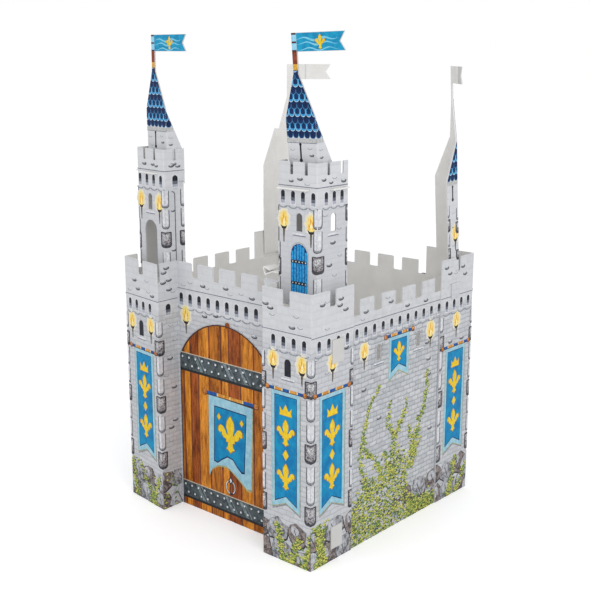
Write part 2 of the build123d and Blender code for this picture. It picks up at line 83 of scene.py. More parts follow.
# Each printed sheet's faces from left to right, its ends and folds, and how it stands. Then the height above which
# its stonework is pale, how strongly it is drawn below, and how light its bare side is, below 1 as painted shade:
# greyer inside the turrets and the front spires.
SHEETS = {
    "front_wall": ("left_side left_front left_return gate right_return right_front right_side",
                   [(-HALF, -INNER), (-HALF, -338), (-INNER, -HALF), (-INNER, GATE_Y), (INNER, GATE_Y),
                    (INNER, -HALF), (HALF, -HALF), (HALF, -INNER)], UPRIGHT, 585, 0.55, 1.0),
    "back_wall": ("far_side back back_left_side",
                  [(HALF, INNER), (HALF, HALF), (-HALF, HALF), (-HALF, INNER)], UPRIGHT, 585, 0.7, 1.0),
    "right_side_wall": ("right_wall", [(WALL_FACE, -INNER), (WALL_FACE, INNER)], UPRIGHT, 585, 1.0, 1.0),
    "left_side_wall": ("left_wall", [(-WALL_FACE, INNER), (-WALL_FACE, -INNER)], UPRIGHT, 585, 1.0, 1.0),
    "front_right_turret": ("right_turret_return right_turret_front right_turret_side",
                           [(208, -239), (208, -309), (333, -309), (333, -192)], UPRIGHT, 930, 0.18, 0.55),
    "front_left_turret": ("left_turret_side left_turret_front left_turret_return",
                          [(-333, -198), (-333, -315), (-208, -315), (-208, -245)], TURRET_TURN, 930, 0.18, 0.68),
    "front_right_spire": ("right_spire_left right_spire_middle right_spire_right",
                          [(228, -236), (228, -288), (323, -288), (323, -236)], RIGHT_SPIRE_LEAN, 640, 0.3, 0.5),
    "front_left_spire": ("left_spire_left left_spire_middle left_spire_right",
                         [(-309, -246), (-309, -298), (-214, -298), (-214, -246)], LEFT_SPIRE_TURN, 640, 0.3, 0.7),
    "back_right_spire": ("back_right_left back_right_middle back_right_right", BACK_SPIRE, BACK_LEAN, 640, 0.3, 1.0),
    "back_left_spire": ("back_left_left back_left_middle back_left_right", BACK_SPIRE, QUARTER @ BACK_LEAN,
                        640, 0.3, 1.0),
}
# These have tabs that hang outside the walls, with their print outwards
TABBED = ("back_right_spire", "back_left_spire")


def panel(start, end, move):
    """Place of a printed face: x along it from its left edge, y up from the floor and z out of the print."""
    a, b = Vector((*start, 0)), Vector((*end, 0))
    along = (b - a).normalized()
    place = Matrix((along, Vector((0, 0, 1)), Vector((along.y, -along.x, 0)))).transposed().to_4x4()
    place.translation = a
    return FROM_CASTLE @ (move @ place)


PANELS = {name: panel(start, end, move) for names, folds, move, *_ in SHEETS.values()
          for name, start, end in zip(names.split(), folds, folds[1:])}


def linear(hex_colour):
    """A six-figure sRGB hex colour as linear red, green, blue and alpha."""
    parts = [int(hex_colour[i:i + 2], 16) / 255 for i in (0, 2, 4)]
    return [c / 12.92 if c <= 0.04045 else ((c + 0.055) / 1.055) ** 2.4 for c in parts] + [1.0]


def node(tree, kind, **values):
    """Adds a shader node. Names in small letters are its settings, and stops are a ramp's places and colours. Others
    are its inputs, by name or as _0, _1 and so on: set to a value, or linked from a socket or a node's first output
    that is in use."""
    made = tree.nodes.new("ShaderNode" + kind)
    for name, value in values.items():
        if name == "stops":
            for element, (position, colour) in zip(made.color_ramp.elements, value):
                element.position, element.color = position, linear(colour)
            continue
        if name[0].islower():
            setattr(made, name, value)
            continue
        socket = made.inputs[int(name[1:]) if name[0] == "_" else name.replace("_", " ")]
        if isinstance(value, bpy.types.Node):
            value = next(output for output in value.outputs if output.enabled)
        if isinstance(value, bpy.types.NodeSocket):
            tree.links.new(value, socket)
        else:
            socket.default_value = value
    return made


def new_material(name):
    """An empty node material and its tree."""
    material = bpy.data.materials.new(name)
    material.use_nodes = True
    material.node_tree.nodes.clear()
    return material, material.node_tree


def grain(tree, size_mm, stretch=(1, 1, 1), detail=3.0, roughness=0.6):
    """Noise on object coordinates whose spots are about size_mm across."""
    scaled = node(tree, "Mapping", Vector=node(tree, "TexCoord").outputs["Object"], Scale=stretch)
    return node(tree, "TexNoise", Vector=scaled, Scale=1 / (size_mm * MM), Detail=detail, Roughness=roughness)


# Inks of the print: two tones that the print's mottling wanders between, and the size of its spots
INKS = {
    # Fine grey pen line of the stonework
    "stone_line": ("8a8d98", "6b6e78", 5),
    # Dark window and arrow slit openings, as printed
    "opening_black": ("1b1d24", "2e3038", 6),
    "arch_mid": ("6f7480", "585c68", 5),
    "arch_pale": ("b1b5c0", "9a9eaa", 5),
    # Small stones drawn in shade
    "stone_shade": ("55575d", "333539", 4),
    "stone_body": ("a3a5aa", "7d8086", 4),
    "stone_light": ("e0e1e3", "cccdd1", 4),
    # Corner stones: pale and rough dark ones
    "quoin_pale": ("e6e7e9", "c9cbd0", 5),
    "quoin_dark": ("b4b0b3", "353339", 4),
    "quoin_lit": ("e4e4e6", "6f6c71", 3),
    "fold_shade": ("a9adb4", "8b9098", 7),
    "quoin_line": ("55545a", "2c2b30", 4),
    # Flames: the glow on the stones in three steps, then body, wisps and core
    "glow_faint": ("e6e2d2", "dcd8cc", 6),
    "glow_soft": ("efe3b4", "e6d8a2", 6),
    "glow_warm": ("f5dc8c", "ecca6e", 5),
    "flame_body": ("fbe68e", "f2c653", 5),
    "flame_wisp": ("d98f2e", "e8ad45", 4),
    "flame_core": ("fdf4c8", "f8dd7c", 4),
    "torch_iron": ("4a4038", "7d7468", 4),
    # Banner cloth as printed: blue field, pale hem, dark seam
    "banner_blue": ("0874ac", "1090be", 26),
    "banner_hem": ("a6cfdc", "8dbdd0", 12),
    "banner_edge": ("b5b37e", "8f9270", 8),
    "banner_seam": ("173a63", "10284a", 10),
    "gold": ("f2d232", "e6bc24", 9),
    "gold_shade": ("a87a1c", "7d5a18", 7),
    "rod_blue": ("2560a8", "1a4688", 8),
    "rod_gold": ("e2a34c", "b87528", 7),
    "knob": ("d98a48", "8c4c22", 5),
    # Iron straps of the doors, with their studs
    "strap": ("566064", "363e42", 12),
    "strap_sheen": ("8b989c", "5c686c", 8),
    "strap_dark": ("1f2426", "2c3236", 8),
    "strap_edge": ("d9cbb2", "b7ab98", 6),
    "stud": ("e8edf0", "c4ccd2", 3),
    # Painted door of the turret
    "door_blue": ("38a8e0", "0f70b8", 4),
    "door_blue_dark": ("08305a", "0a4072", 5),
    # Roof scales
    "scale_navy": ("081c40", "0c2a5c", 5),
    "scale_deep": ("0b3264", "08264e", 5),
    "scale_mid": ("3f88ba", "5ea6d0", 5),
    "scale_sky": ("48aadc", "2f8cc8", 5),
    "scale_rim": ("cfe8f4", "a4d0ea", 4),
    "roof_band": ("c9c3c6", "a9b3ae", 6),
    "collar_gold": ("e8b84a", "c89434", 4),
    "pole_brown": ("9a4a2c", "6f3220", 5),
    "pole_dark": ("3a2a2c", "59332a", 4),
    "pole_tie": ("a8daee", "86c8e4", 4),
    "flag_blue": ("1aa0c8", "1286b4", 12),
    "flag_wave": ("6fc4e0", "8ad2e8", 9),
    # Rocks and creeper along the foot
    "rock_dark": ("4a464a", "343136", 6),
    "rock_brown": ("9a8f8a", "4c4547", 10),
    "rock_grey": ("b0b1b5", "65666c", 10),
    "rock_pale": ("c6c8cd", "9b9da3", 9),
    "leaf_bright": ("dcd96e", "c6c656", 5),
    "leaf_mid": ("b4c25e", "9aae4e", 5),
    "leaf_green": ("7a9e54", "5c8444", 5),
    "leaf_dark": ("626a4a", "444e36", 5),
}
ROUGH_INKS = ("quoin_lit", "rock_brown", "rock_grey", "rock_pale", "quoin_dark", "door_blue", "strap")

# Boards of the gate, from orange to red-brown
BOARDS = {
    "board_orange": ("ec9a34", "8c4a10"),
    "board_brown": ("d0802a", "70380c"),
    "board_red": ("b8622a", "5e2a0e"),
}


def ink(name):
    """The material of one ink or printed board, which is made when it is first used."""
    if name in bpy.data.materials:
        return bpy.data.materials[name]
    material, tree = new_material(name)
    if name in BOARDS:
        # Printed wood: long streaks down the boards, and wider blotches
        first, second = BOARDS[name]
        streaks = grain(tree, 6, (1, 1, 0.12), 9.0, 0.85)
        blotches = grain(tree, 34, (1, 1, 0.3), 5.0, 0.7)
        pattern = node(tree, "Math", operation="MULTIPLY_ADD", _0=blotches, _1=0.5, _2=streaks)
        low, high, roughness = 0.64, 0.86, 0.48
    else:
        # Slight mottling, stronger where the ink paints rock or iron
        first, second, size = INKS[name]
        rough = name in ROUGH_INKS
        pattern = grain(tree, size, (1, 1, 0.8), 6.0 if rough else 3.0, 0.75 if rough else 0.6)
        low, high, roughness = (0.42, 0.56, 0.5) if rough else (0.38, 0.62, 0.5)
    first = getattr(bpy.context.scene.castle_print, name, first)
    # Offset-printed ink on coated white liner: a soft satin film
    tones = node(tree, "ValToRGB", Fac=pattern, stops=((low, second), (high, first)))
    film = node(tree, "BsdfPrincipled", Base_Color=tones, Roughness=roughness, IOR=1.45, Specular_IOR_Level=0.2)
    node(tree, "OutputMaterial", Surface=film)
    return material


def plain_liner(tree):
    """Unprinted kraft-white liner of corrugated board: pale warm grey, slightly cloudy."""
    return node(tree, "ValToRGB", Fac=grain(tree, 60, detail=2.0), stops=((0.3, "e4e3df"), (0.7, "ecebe8")))


def plain_card(name):
    """Bare corrugated board, matt and slightly fibrous."""
    material, tree = new_material(name)
    bump = node(tree, "Bump", Strength=0.08, Distance=0.0002, Height=grain(tree, 1.2, (1, 1, 0.3), 4.0))
    board = node(tree, "BsdfPrincipled", Base_Color=plain_liner(tree), Roughness=0.75, Normal=bump)
    node(tree, "OutputMaterial", Surface=board)
    return material


def printed_card(sheet, course):
    """Coated board, satin with drawn stonework where the surface lies on one of the sheet's printed faces, and matt
    and bare elsewhere."""
    names, _, _, pale_above, strength, bare = SHEETS[sheet]
    material, tree = new_material(sheet + "_board")
    place = node(tree, "TexCoord").outputs["Object"]
    x, y, z = node(tree, "SeparateXYZ", Vector=place).outputs
    mask = 0.0
    for name in names.split():
        normal = (PANELS[name].to_3x3() @ Vector((0, 0, 1))).normalized()
        reach = node(tree, "VectorMath", operation="DOT_PRODUCT", _0=place, _1=normal)
        # Half the board's thickness decides what belongs to the face
        on_face = node(tree, "Math", operation="COMPARE", _0=reach, _1=normal.dot(PANELS[name].translation),
                       _2=1.5 * MM)
        mask = node(tree, "Math", operation="MAXIMUM", _0=mask, _1=on_face)
    if sheet in TABBED:
        # The tabs are what lies outside the walls below 720 mm
        below = node(tree, "Math", operation="LESS_THAN", _0=z, _1=720 * MM)
        for axis, middle, side in ((x, CENTRE.x, 1), (x, CENTRE.x, -1), (y, CENTRE.y, 1)):
            past = node(tree, "Math", operation="GREATER_THAN" if side > 0 else "LESS_THAN", _0=axis,
                        _1=middle + side * (HALF + 2.2) * MM)
            tab = node(tree, "Math", operation="MULTIPLY", _0=past, _1=below)
            mask = node(tree, "Math", operation="MAXIMUM", _0=mask, _1=tab)
    # The courses are drawn by hand and wander by a few millimetres
    wander = node(tree, "TexNoise", Vector=place, Scale=1 / (22 * MM), Detail=3.0)
    drift = node(tree, "Math", operation="MULTIPLY", _0=wander, _1=9 * MM)
    across = node(tree, "Math", operation="ADD", _0=x, _1=y)
    run = node(tree, "Math", operation="ADD", _0=across, _1=drift)
    rise = node(tree, "Math", operation="ADD", _0=z, _1=drift)
    drawn = node(tree, "CombineXYZ", X=run, Y=rise)
    stones = []
    # Blocks twice as long as they are high, shaded towards their feet: those of the walls, and paler ones above
    for row, joint, tone, other, seam, foot in ((course, 1.5, "c4c7cb", "dddfe2", "9fa3aa", 0.8),
                                                (19, 0.9, "dadcdf", "dfe1e4", "d2d4d8", 0.96)):
        blocks = node(tree, "TexBrick", Vector=drawn, Color1=linear(tone), Color2=linear(other), Mortar=linear(seam),
                      Scale=1.0, Mortar_Size=joint * MM, Mortar_Smooth=0.9, Brick_Width=2 * row * MM,
                      Row_Height=row * MM)
        rows = node(tree, "Math", operation="DIVIDE", _0=rise, _1=row * MM)
        level = node(tree, "Math", operation="FRACT", _0=rows)
        under = node(tree, "MapRange", Value=level, From_Max=0.4, To_Min=foot)
        stones.append(node(tree, "Mix", data_type="RGBA", blend_type="MULTIPLY", _0=1.0, _6=blocks, _7=under))
    faint = node(tree, "Mix", data_type="RGBA", _0=1 - strength, _6=stones[0], _7=linear("d3d5d9"))
    height = node(tree, "MapRange", Value=z, From_Min=(pale_above - 12) * MM, From_Max=(pale_above + 12) * MM)
    both = node(tree, "Mix", data_type="RGBA", _0=height, _6=faint, _7=stones[1])
    shade = node(tree, "MapRange", Value=grain(tree, 16, detail=5.0, roughness=0.7), From_Min=0.3, From_Max=0.7,
                 To_Min=0.9 - 0.16 * strength, To_Max=0.9)
    washed = node(tree, "Mix", data_type="RGBA", blend_type="MULTIPLY", _0=1.0, _6=both, _7=shade)
    # The bare side with painted shade: darkened to the sheet's level, and greyer on the tabs that hang outside the
    # walls
    from_middle = node(tree, "Math", operation="SUBTRACT", _0=x, _1=CENTRE.x)
    off = node(tree, "Math", operation="ABSOLUTE", _0=from_middle)
    outside = node(tree, "Math", operation="GREATER_THAN", _0=off, _1=(HALF + 0.4) * MM)
    tone = node(tree, "MapRange", Value=outside, To_Min=bare, To_Max=0.74)
    liner = node(tree, "Mix", data_type="RGBA", blend_type="MULTIPLY", _0=1.0, _6=plain_liner(tree), _7=tone)
    sides = node(tree, "Mix", data_type="RGBA", _0=mask, _6=liner, _7=washed)
    matt = node(tree, "MapRange", Value=mask, To_Min=0.75, To_Max=0.5)
    card = node(tree, "BsdfPrincipled", Base_Color=sides, Roughness=matt, IOR=1.45)
    node(tree, "OutputMaterial", Surface=card)
    return material


# Flat outlines of the print, in millimetres on a panel

def box_shape(left, right, low, high):
    return [(left, low), (right, low), (right, high), (left, high)]


def arch_shape(middle, width, low, high, steps=8):
    """A round-headed opening."""
    radius = width / 2
    head = [(middle + radius * math.cos(math.pi * i / steps), high - radius + radius * math.sin(math.pi * i / steps))
            for i in range(steps + 1)]
    return [(middle - radius, low), (middle + radius, low)] + head


def disc_shape(x, y, radius, tall=None, steps=14):
    tall = tall or radius
    return [(x + radius * math.cos(2 * math.pi * i / steps), y + tall * math.sin(2 * math.pi * i / steps))
            for i in range(steps)]


def band_shape(x, y, outer, inner, start, end, squash=1.0, steps=8):
    """Part of a ring, from one angle to another, which may be flattened."""
    angles = [math.radians(start + (end - start) * i / steps) for i in range(steps + 1)]
    rim = [(x + outer * math.cos(a), y + outer * squash * math.sin(a)) for a in angles]
    return rim + [(x + inner * math.cos(a), y + inner * squash * math.sin(a)) for a in reversed(angles)]


def mirror_shape(half, x, y, width, height):
    """A shape that is the same on both sides of its upright middle line, from its right half, bottom to top."""
    right = [(x + a * width, y + b * height) for a, b in half]
    left = [(x - a * width, y + b * height) for a, b in reversed(half) if a > 0]
    return right + left


def stroke_shape(start, end, width):
    """A straight pen stroke."""
    a, b = Vector(start), Vector(end)
    side = (b - a).normalized().orthogonal() * width / 2
    return [tuple(a + side), tuple(a - side), tuple(b - side), tuple(b + side)]


def swallowtail(left, right, top, tip, fork):
    """Outline of a hanging banner with a forked foot."""
    return [(left, tip), ((left + right) / 2, fork), (right, tip), (right, top), (left, top)]


LILY = [(0, 0), (0.08, 0.07), (0.17, 0.1), (0.1, 0.17), (0.09, 0.28), (0.17, 0.29), (0.17, 0.36), (0.27, 0.38),
        (0.34, 0.45), (0.36, 0.53), (0.42, 0.48), (0.48, 0.54), (0.47, 0.64), (0.39, 0.7), (0.29, 0.68),
        (0.2, 0.58), (0.13, 0.47), (0.1, 0.52), (0.16, 0.68), (0.14, 0.82), (0.07, 0.92), (0, 1)]
LOZENGE = [(0, 0), (0.5, 0.5), (0, 1)]
CROWN = [(0, 0), (0.5, 0), (0.5, 0.16), (0.46, 0.22), (0.5, 0.75), (0.3, 0.42), (0.2, 0.5), (0, 1)]
FLAME = [(0, 0.02), (0.2, 0.04), (0.36, 0.16), (0.3, 0.3), (0.42, 0.34), (0.34, 0.5), (0.22, 0.56), (0.3, 0.66),
         (0.16, 0.74), (0.14, 0.88), (0.05, 0.84), (0, 1)]


class Printing:
    """Collects flat shapes on the printed faces and makes them one thin piece."""

    def __init__(self, name):
        self.name = name
        self.groups = []
        self.inks = []

    def face(self, face, clip=(), shift=0):
        """Starts on another printed face, a shift along it; clip is a convex outline that the shapes are cut to."""
        self.groups.append((PANELS[face] @ Matrix.Translation((shift, 0, 0)), clip, []))

    def add(self, ink_name, outline, height=0.15):
        """A shape in one ink; its height over the board, in millimetres, says which ink lies over which."""
        if ink_name not in self.inks:
            self.inks.append(ink_name)
        self.groups[-1][2].append((self.inks.index(ink_name), outline, height))

    def make(self):
        """Builds the piece: each group is cut to its clip, then every shape is raised by its own height."""
        sunk = 0.05
        joined = bmesh.new()
        joined.faces.layers.float.new("height")
        for place, clip, shapes in self.groups:
            bm = bmesh.new()
            rise = bm.faces.layers.float.new("height")
            outwards = (place.to_3x3() @ Vector((0, 0, 1))).normalized()
            for index, outline, height in shapes:
                made = bm.faces.new([bm.verts.new(place @ Vector((x, y, -sunk))) for x, y in outline])
                made.normal_update()
                if made.normal.dot(outwards) < 0:
                    made.normal_flip()
                made.material_index = index
                made[rise] = height
            for (x0, y0), (x1, y1) in zip(clip, clip[1:] + clip[:1]):
                bmesh.ops.bisect_plane(bm, geom=bm.verts[:] + bm.edges[:] + bm.faces[:], dist=1e-7,
                                       plane_co=place @ Vector((x0, y0, 0)), clear_outer=True,
                                       plane_no=place.to_3x3() @ Vector((y1 - y0, x0 - x1, 0)))
            raised = bmesh.ops.extrude_face_region(bm, geom=bm.faces[:])["geom"]
            for top in [g for g in raised if isinstance(g, bmesh.types.BMFace)]:
                for vert in top.verts:
                    vert.co += outwards * (top[rise] + sunk) * MM
            bmesh.ops.recalc_face_normals(bm, faces=bm.faces[:])
            part = bpy.data.meshes.new("part")
            bm.to_mesh(part)
            bm.free()
            joined.from_mesh(part)
            bpy.data.meshes.remove(part)
        mesh = bpy.data.meshes.new(self.name)
        joined.to_mesh(mesh)
        joined.free()
        for name in self.inks:
            mesh.materials.append(ink(name))
        piece = bpy.data.objects.new(self.name, mesh)
        bpy.context.scene.collection.objects.link(piece)
        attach(piece, "root")


# Motifs

def crown_line(sheet, width, height):
    """The pen line under a battlement."""
    sheet.add("stone_line", box_shape(0, width, height - 1.1, height + 1.1))


def arcade(sheet, middles, low, high, width, face_width=0):
    """A row of printed arches, dark at their heads, and in a row of several a scalloped edge under them."""
    if face_width:
        step = middles[1] - middles[0]
        for x in [middles[0] - step] + middles + [middles[-1] + step]:
            if x - step * 0.3 > 0 and x + step * 0.3 < face_width:
                sheet.add("fold_shade", band_shape(x, low - 3, step * 0.52, step * 0.34, 195, 345, 0.55))
                sheet.add("stone_line", band_shape(x, low - 2.5, step * 0.5, step * 0.455, 200, 340, 0.55), 0.18)
    for x in middles:
        sheet.add("stone_light", arch_shape(x, width + 5, low - 3, high + 3), 0.2)
        sheet.add("arch_pale", arch_shape(x, width, low, high), 0.25)
        sheet.add("arch_mid", arch_shape(x, width, low + (high - low) * 0.25, high), 0.3)
        sheet.add("opening_black", arch_shape(x, width - 1, low + (high - low) * 0.5, high), 0.35)


def small_stone(sheet, x, y, width=20, dark=True):
    """One stone of the wall that stands out: in shade under a light top, or only a line under it."""
    tall = width * 0.46
    if dark:
        sheet.add("stone_shade", disc_shape(x + 0.5, y - 0.5, width / 2, tall / 2, 12))
        sheet.add("stone_body", disc_shape(x - 0.8, y + tall * 0.12, width * 0.42, tall * 0.36, 12), 0.18)
        sheet.add("stone_light", disc_shape(x - 1.5, y + tall * 0.3, width * 0.32, tall * 0.17, 10), 0.22)
    else:
        sheet.add("arch_mid", band_shape(x, y, width / 2, width * 0.42, 185, 345, 0.62, 6))


def torch(sheet, x, top, bowl, end):
    """A burning torch on its stem, with its glow on the stones."""
    size = (top - bowl) / 45
    middle = bowl + 19 * size
    for tone, wide, tall, height in (("glow_faint", 23, 31, 0.13), ("glow_soft", 18, 26, 0.16),
                                     ("glow_warm", 13.5, 21, 0.19)):
        # Every other ray is shorter
        rays = [(x + wide * size * a * (1.0 if i % 2 else 0.84), middle + tall * size * b * (1.0 if i % 2 else 0.86))
                for i, (a, b) in enumerate(disc_shape(0, 0, 1, steps=18))]
        sheet.add(tone, rays, height)
    sheet.add("flame_body", mirror_shape(FLAME, x, bowl, 27 * size, 44 * size), 0.24)
    for dx, low, wide, tall in ((-6, 3, 5, 20), (5.5, 6, 4.5, 22), (-1, 14, 4, 24)):
        wisp = mirror_shape(LOZENGE, x + dx * size, bowl + low * size, wide * size, tall * size)
        sheet.add("flame_wisp", wisp, 0.28)
    sheet.add("flame_core", mirror_shape(LOZENGE, x + 1.5 * size, bowl + 2, 9 * size, 22 * size), 0.31)
    sheet.add("opening_black", [(x - 11 * size, bowl + 5), (x - 6 * size, bowl - 5 * size),
                                (x + 6 * size, bowl - 5 * size), (x + 11 * size, bowl + 5),
                                (x + 4 * size, bowl + 1), (x - 4 * size, bowl + 1)], 0.35)
    sheet.add("torch_iron", [(x - 3.8, bowl - 4), (x - 1.4, end), (x + 1.4, end), (x + 3.8, bowl - 4)], 0.26)


def window(sheet, x, low, high, width, painted=True):
    """A printed window with its sill, or only the sill under one that is cut out."""
    if painted:
        sheet.add("opening_black", arch_shape(x, width, low, high), 0.2)
    sheet.add("stone_line", box_shape(x - width * 1.05, x + width * 1.05, low - 12, low - 9.5), 0.2)
    sheet.add("quoin_pale", box_shape(x - width * 1.05, x + width * 1.05, low - 9.5, low - 5), 0.18)


def quoins(sheet, x, side, stones, reach=21):
    """Corner stones beside a fold: side is 1 where the face runs to the right of it and -1 to the left."""
    for low, high, dark in stones:
        wide = reach if dark else reach * 0.72
        far, soft, line = x + side * wide, min(8, wide * 0.45), 3 if dark else 2
        sheet.add("quoin_line", [(x, low), (far - side * soft, low), (far - side * soft * 0.3, low + soft * 0.35),
                                 (far, low + soft), (far, high - 2), (far - side * 2, high), (x, high)], 0.3)
        top = high - line if dark else high + 0.5
        inner = far - side * line
        bend, lit = inner - side * soft * 0.8, inner - side * 1.5
        sheet.add("stone_shade" if dark else "stone_body",
                  [(x, low + line), (bend, low + line), (inner, low + soft), (inner, top), (x, top)], 0.34)
        sheet.add("quoin_dark" if dark else "quoin_pale",
                  [(x, low + line + 5), (bend, low + line + 5), (lit, low + soft + 4), (lit, top), (x, top)], 0.38)
        if dark:
            tall = high - low
            sheet.add("quoin_lit", [(x, low + tall * 0.45), (x + side * wide * 0.45, low + tall * 0.55),
                                    (x + side * wide * 0.55, top - 4), (x, top - 3)], 0.42)


def rod(sheet, left, right, height, size=7, stripes=("rod_blue", "rod_gold", "rod_blue", "rod_gold", "rod_blue")):
    """A banner's striped rod, with a pale line between its stripes and a knob at each end."""
    step = (right - left) / len(stripes)
    sheet.add("strap_dark", box_shape(left, right, height - size * 0.75, height), 0.32)
    for i, tone in enumerate(stripes):
        start = left + i * step
        sheet.add(tone, box_shape(start, start + step, height - size / 2, height + size / 2), 0.35)
        if i:
            sheet.add("glow_soft", box_shape(start - 1.5, start + 1.5, height - size / 2, height + size / 2), 0.38)
    for x in (left, right):
        sheet.add("pole_dark", disc_shape(x, height - 1, size * 1.05), 0.4)
        sheet.add("knob", disc_shape(x, height, size * 0.9), 0.44)
        sheet.add("rod_gold", disc_shape(x - 1, height + 1.5, size * 0.42), 0.48)


def gilded(sheet, motif, x, low, width, height, drop, wider, taller, level=0.34):
    """A gold motif on its shade, which is larger and a little lower."""
    sheet.add("gold_shade", mirror_shape(motif, x, low - drop, width + wider, height + taller), level)
    sheet.add("gold", mirror_shape(motif, x, low, width, height), level + 0.06)


def tall_banner(sheet, left, right, top, tip):
    """A long blue banner with a pale hem, a dark seam and gold motifs down its middle."""
    fork = 181
    # How far each layer goes past the seam to the left and right, over its top, and under its tips and its fork
    for tone, west, east, over, under, cut, level in (
            ("stone_body", 8, 12.5, 0, 24, 22, 0.14), ("banner_edge", 10.5, 10.5, 8, 19, 18, 0.18),
            ("banner_hem", 9, 9, 9, 16, 16, 0.22), ("banner_seam", 0, 0, 0, 0, 0, 0.26),
            ("banner_blue", -1.6, -1.6, -1.8, -4, -2, 0.3)):
        sheet.add(tone, swallowtail(left - west, right + east, top + over, tip - under, fork - cut), level)
    for motif, low, width, height in ((CROWN, 400, 40, 30), (LILY, 318, 62, 72), (LOZENGE, 280, 20, 30),
                                      (LILY, 200, 62, 72)):
        gilded(sheet, motif, (left + right) / 2, low, width, height, height * 0.03, width * 0.08, height * 0.06)


# Corner stones from top to bottom: foot, head, and whether they are dark
TOWER_STONES = [(515, 558, False), (461, 505, True), (403, 457, False), (347, 393, False), (292, 342, True),
                (236, 282, False), (181, 231, False), (124, 175, True)]
TURRET_STONES = [(871, 919, False), (813, 866, False), (760, 804, True), (700, 748, False)]

# Stones that stand out: place along the face, height, and whether they are dark
SINGLE_STONES = {
    "right_wall": [(50, 433, 1), (118, 338, 1), (304, 298, 1), (360, 243, 1), (200, 198, 1), (54, 642, 1),
                   (161, 650, 1), (236, 626, 1), (323, 624, 1), (42, 626, 0), (147, 665, 0), (344, 452, 1),
                   (323, 429, 0), (347, 407, 1), (212, 369, 0), (334, 502, 1), (252, 531, 0), (92, 470, 0),
                   (290, 380, 0), (140, 410, 0)],
    "right_side": [(41, 692, 1), (60, 699, 0), (112, 696, 1), (108, 680, 1), (131, 666, 1), (60, 631, 0),
                   (134, 566, 1), (60, 518, 0), (20, 560, 0)],
    "far_side": [(112, 480, 1), (52, 480, 1), (23, 700, 1), (40, 682, 1), (70, 681, 0), (106, 693, 1), (118, 670, 1)],
    "right_front": [(101, 633, 1), (115, 664, 0), (128, 638, 0), (13, 681, 1), (29, 672, 1), (35, 658, 0),
                    (44, 476, 0)],
    "left_front": [(50, 662, 1), (24, 632, 0), (66, 639, 1), (113, 670, 0), (119, 640, 0), (138, 630, 1)],
    "gate": [(103, 666, 1), (26, 660, 0), (53, 670, 0), (120, 664, 0), (192, 672, 1), (209, 660, 0), (250, 668, 0),
             (289, 660, 1), (340, 666, 0), (108, 582, 1), (152, 590, 1), (296, 557, 1), (229, 580, 0), (368, 580, 0)],
    "right_turret_side": [(60, 833, 1), (47, 778, 1), (68, 752, 0), (88, 800, 0), (84, 868, 0), (30, 905, 0)],
    "left_return": [(35, 708, 1), (25, 696, 1), (43, 673, 1), (22, 668, 1), (43, 646, 1), (58, 640, 0), (40, 448, 1),
                    (26, 402, 0), (53, 361, 1), (60, 309, 0), (54, 262, 1), (38, 243, 1), (46, 166, 0), (38, 205, 0),
                    (46, 545, 0), (60, 500, 0)],
}


def tower_front(sheet, face, width, mirrored, shift=0):
    """A tower face with two torches and a window over its banner."""
    def at(u):
        return width - u if mirrored else u
    sheet.face(face, shift=shift)
    crown_line(sheet, width, 617)
    arcade(sheet, sorted(at(u) for u in (39, 73, 107, 141)), 574, 606, 13, width)
    torch(sheet, at(38), 568, 523, 489)
    torch(sheet, at(134), 568, 521, 489)
    window(sheet, at(87), 504, 549, 21)
    rod(sheet, *sorted((at(18), at(144))), 467)
    tall_banner(sheet, *sorted((at(42), at(118))), 452, 161)
    quoins(sheet, width, -1, TOWER_STONES)
    quoins(sheet, 0, 1, TOWER_STONES, 15)


def tower_side(sheet, face, width):
    """A tower face with one torch over its banner."""
    sheet.face(face)
    crown_line(sheet, width, 613)
    arcade(sheet, [u for u in (29, 66, 103, 139) if u < width - 8], 572, 603, 13, width)
    torch(sheet, width / 2, 566, 520, 488)
    rod(sheet, 15, width - 15, 466)
    tall_banner(sheet, width / 2 - 40, width / 2 + 40, 450, 160)
    quoins(sheet, 0, 1, TOWER_STONES)
    quoins(sheet, width, -1, TOWER_STONES, 15)


class CastleStage(bpy.types.PropertyGroup):
    """Sizes and levels of the studio."""
    floor_size: FloatProperty(name="Floor", description="Radius of the pale floor", default=30.0, unit="LENGTH")
    sky: FloatProperty(name="Sky", description="Level of the even light from all round", default=0.8, min=0)
    key: FloatProperty(name="Key", description="Power of the large soft lamp on the right", default=75.0, min=0)
    fill: FloatProperty(name="Fill", description="Power of the soft lamp in front", default=22.0, min=0)


class CastlePrint(bpy.types.PropertyGroup):
    """What the print may be changed by."""
    seed: IntProperty(name="Seed", description="Start of the scatter of stones and leaves", default=7)
    leaves: IntProperty(name="Leaves", description="Creeper leaves on a side wall", default=2150, min=0)
    leaf_size: FloatProperty(name="Leaf", description="Length of a creeper leaf", default=0.0092, min=0.001,
                             unit="LENGTH")
    course: FloatProperty(name="Course", description="Height of a course of drawn stone", default=0.0135, min=0.002,
                          unit="LENGTH")
    banner_blue: StringProperty(name="Banners", description="Blue of the banners as a hex colour", default="0874ac")
    scale_sky: StringProperty(name="Roof", description="Light blue of the roof as a hex colour", default="48aadc")
    flag_blue: StringProperty(name="Flags", description="Blue of the flags as a hex colour", default="1aa0c8")
    board_orange: StringProperty(name="Boards", description="Light tone of the gate's boards as a hex colour",
                                 default="ec9a34")


class CASTLE_OT_card(bpy.types.Operator):
    """Gives every sheet its board, printed on the outside and plain inside"""
    bl_idname = "castle.card"
    bl_label = "Card"

    def execute(self, context):
        plain = plain_card("plain_board")
        for name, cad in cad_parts.items():
            cad.data.materials.clear()
            cad.data.materials.append(
                printed_card(name, context.scene.castle_print.course / MM) if name in SHEETS else plain)
        return {"FINISHED"}


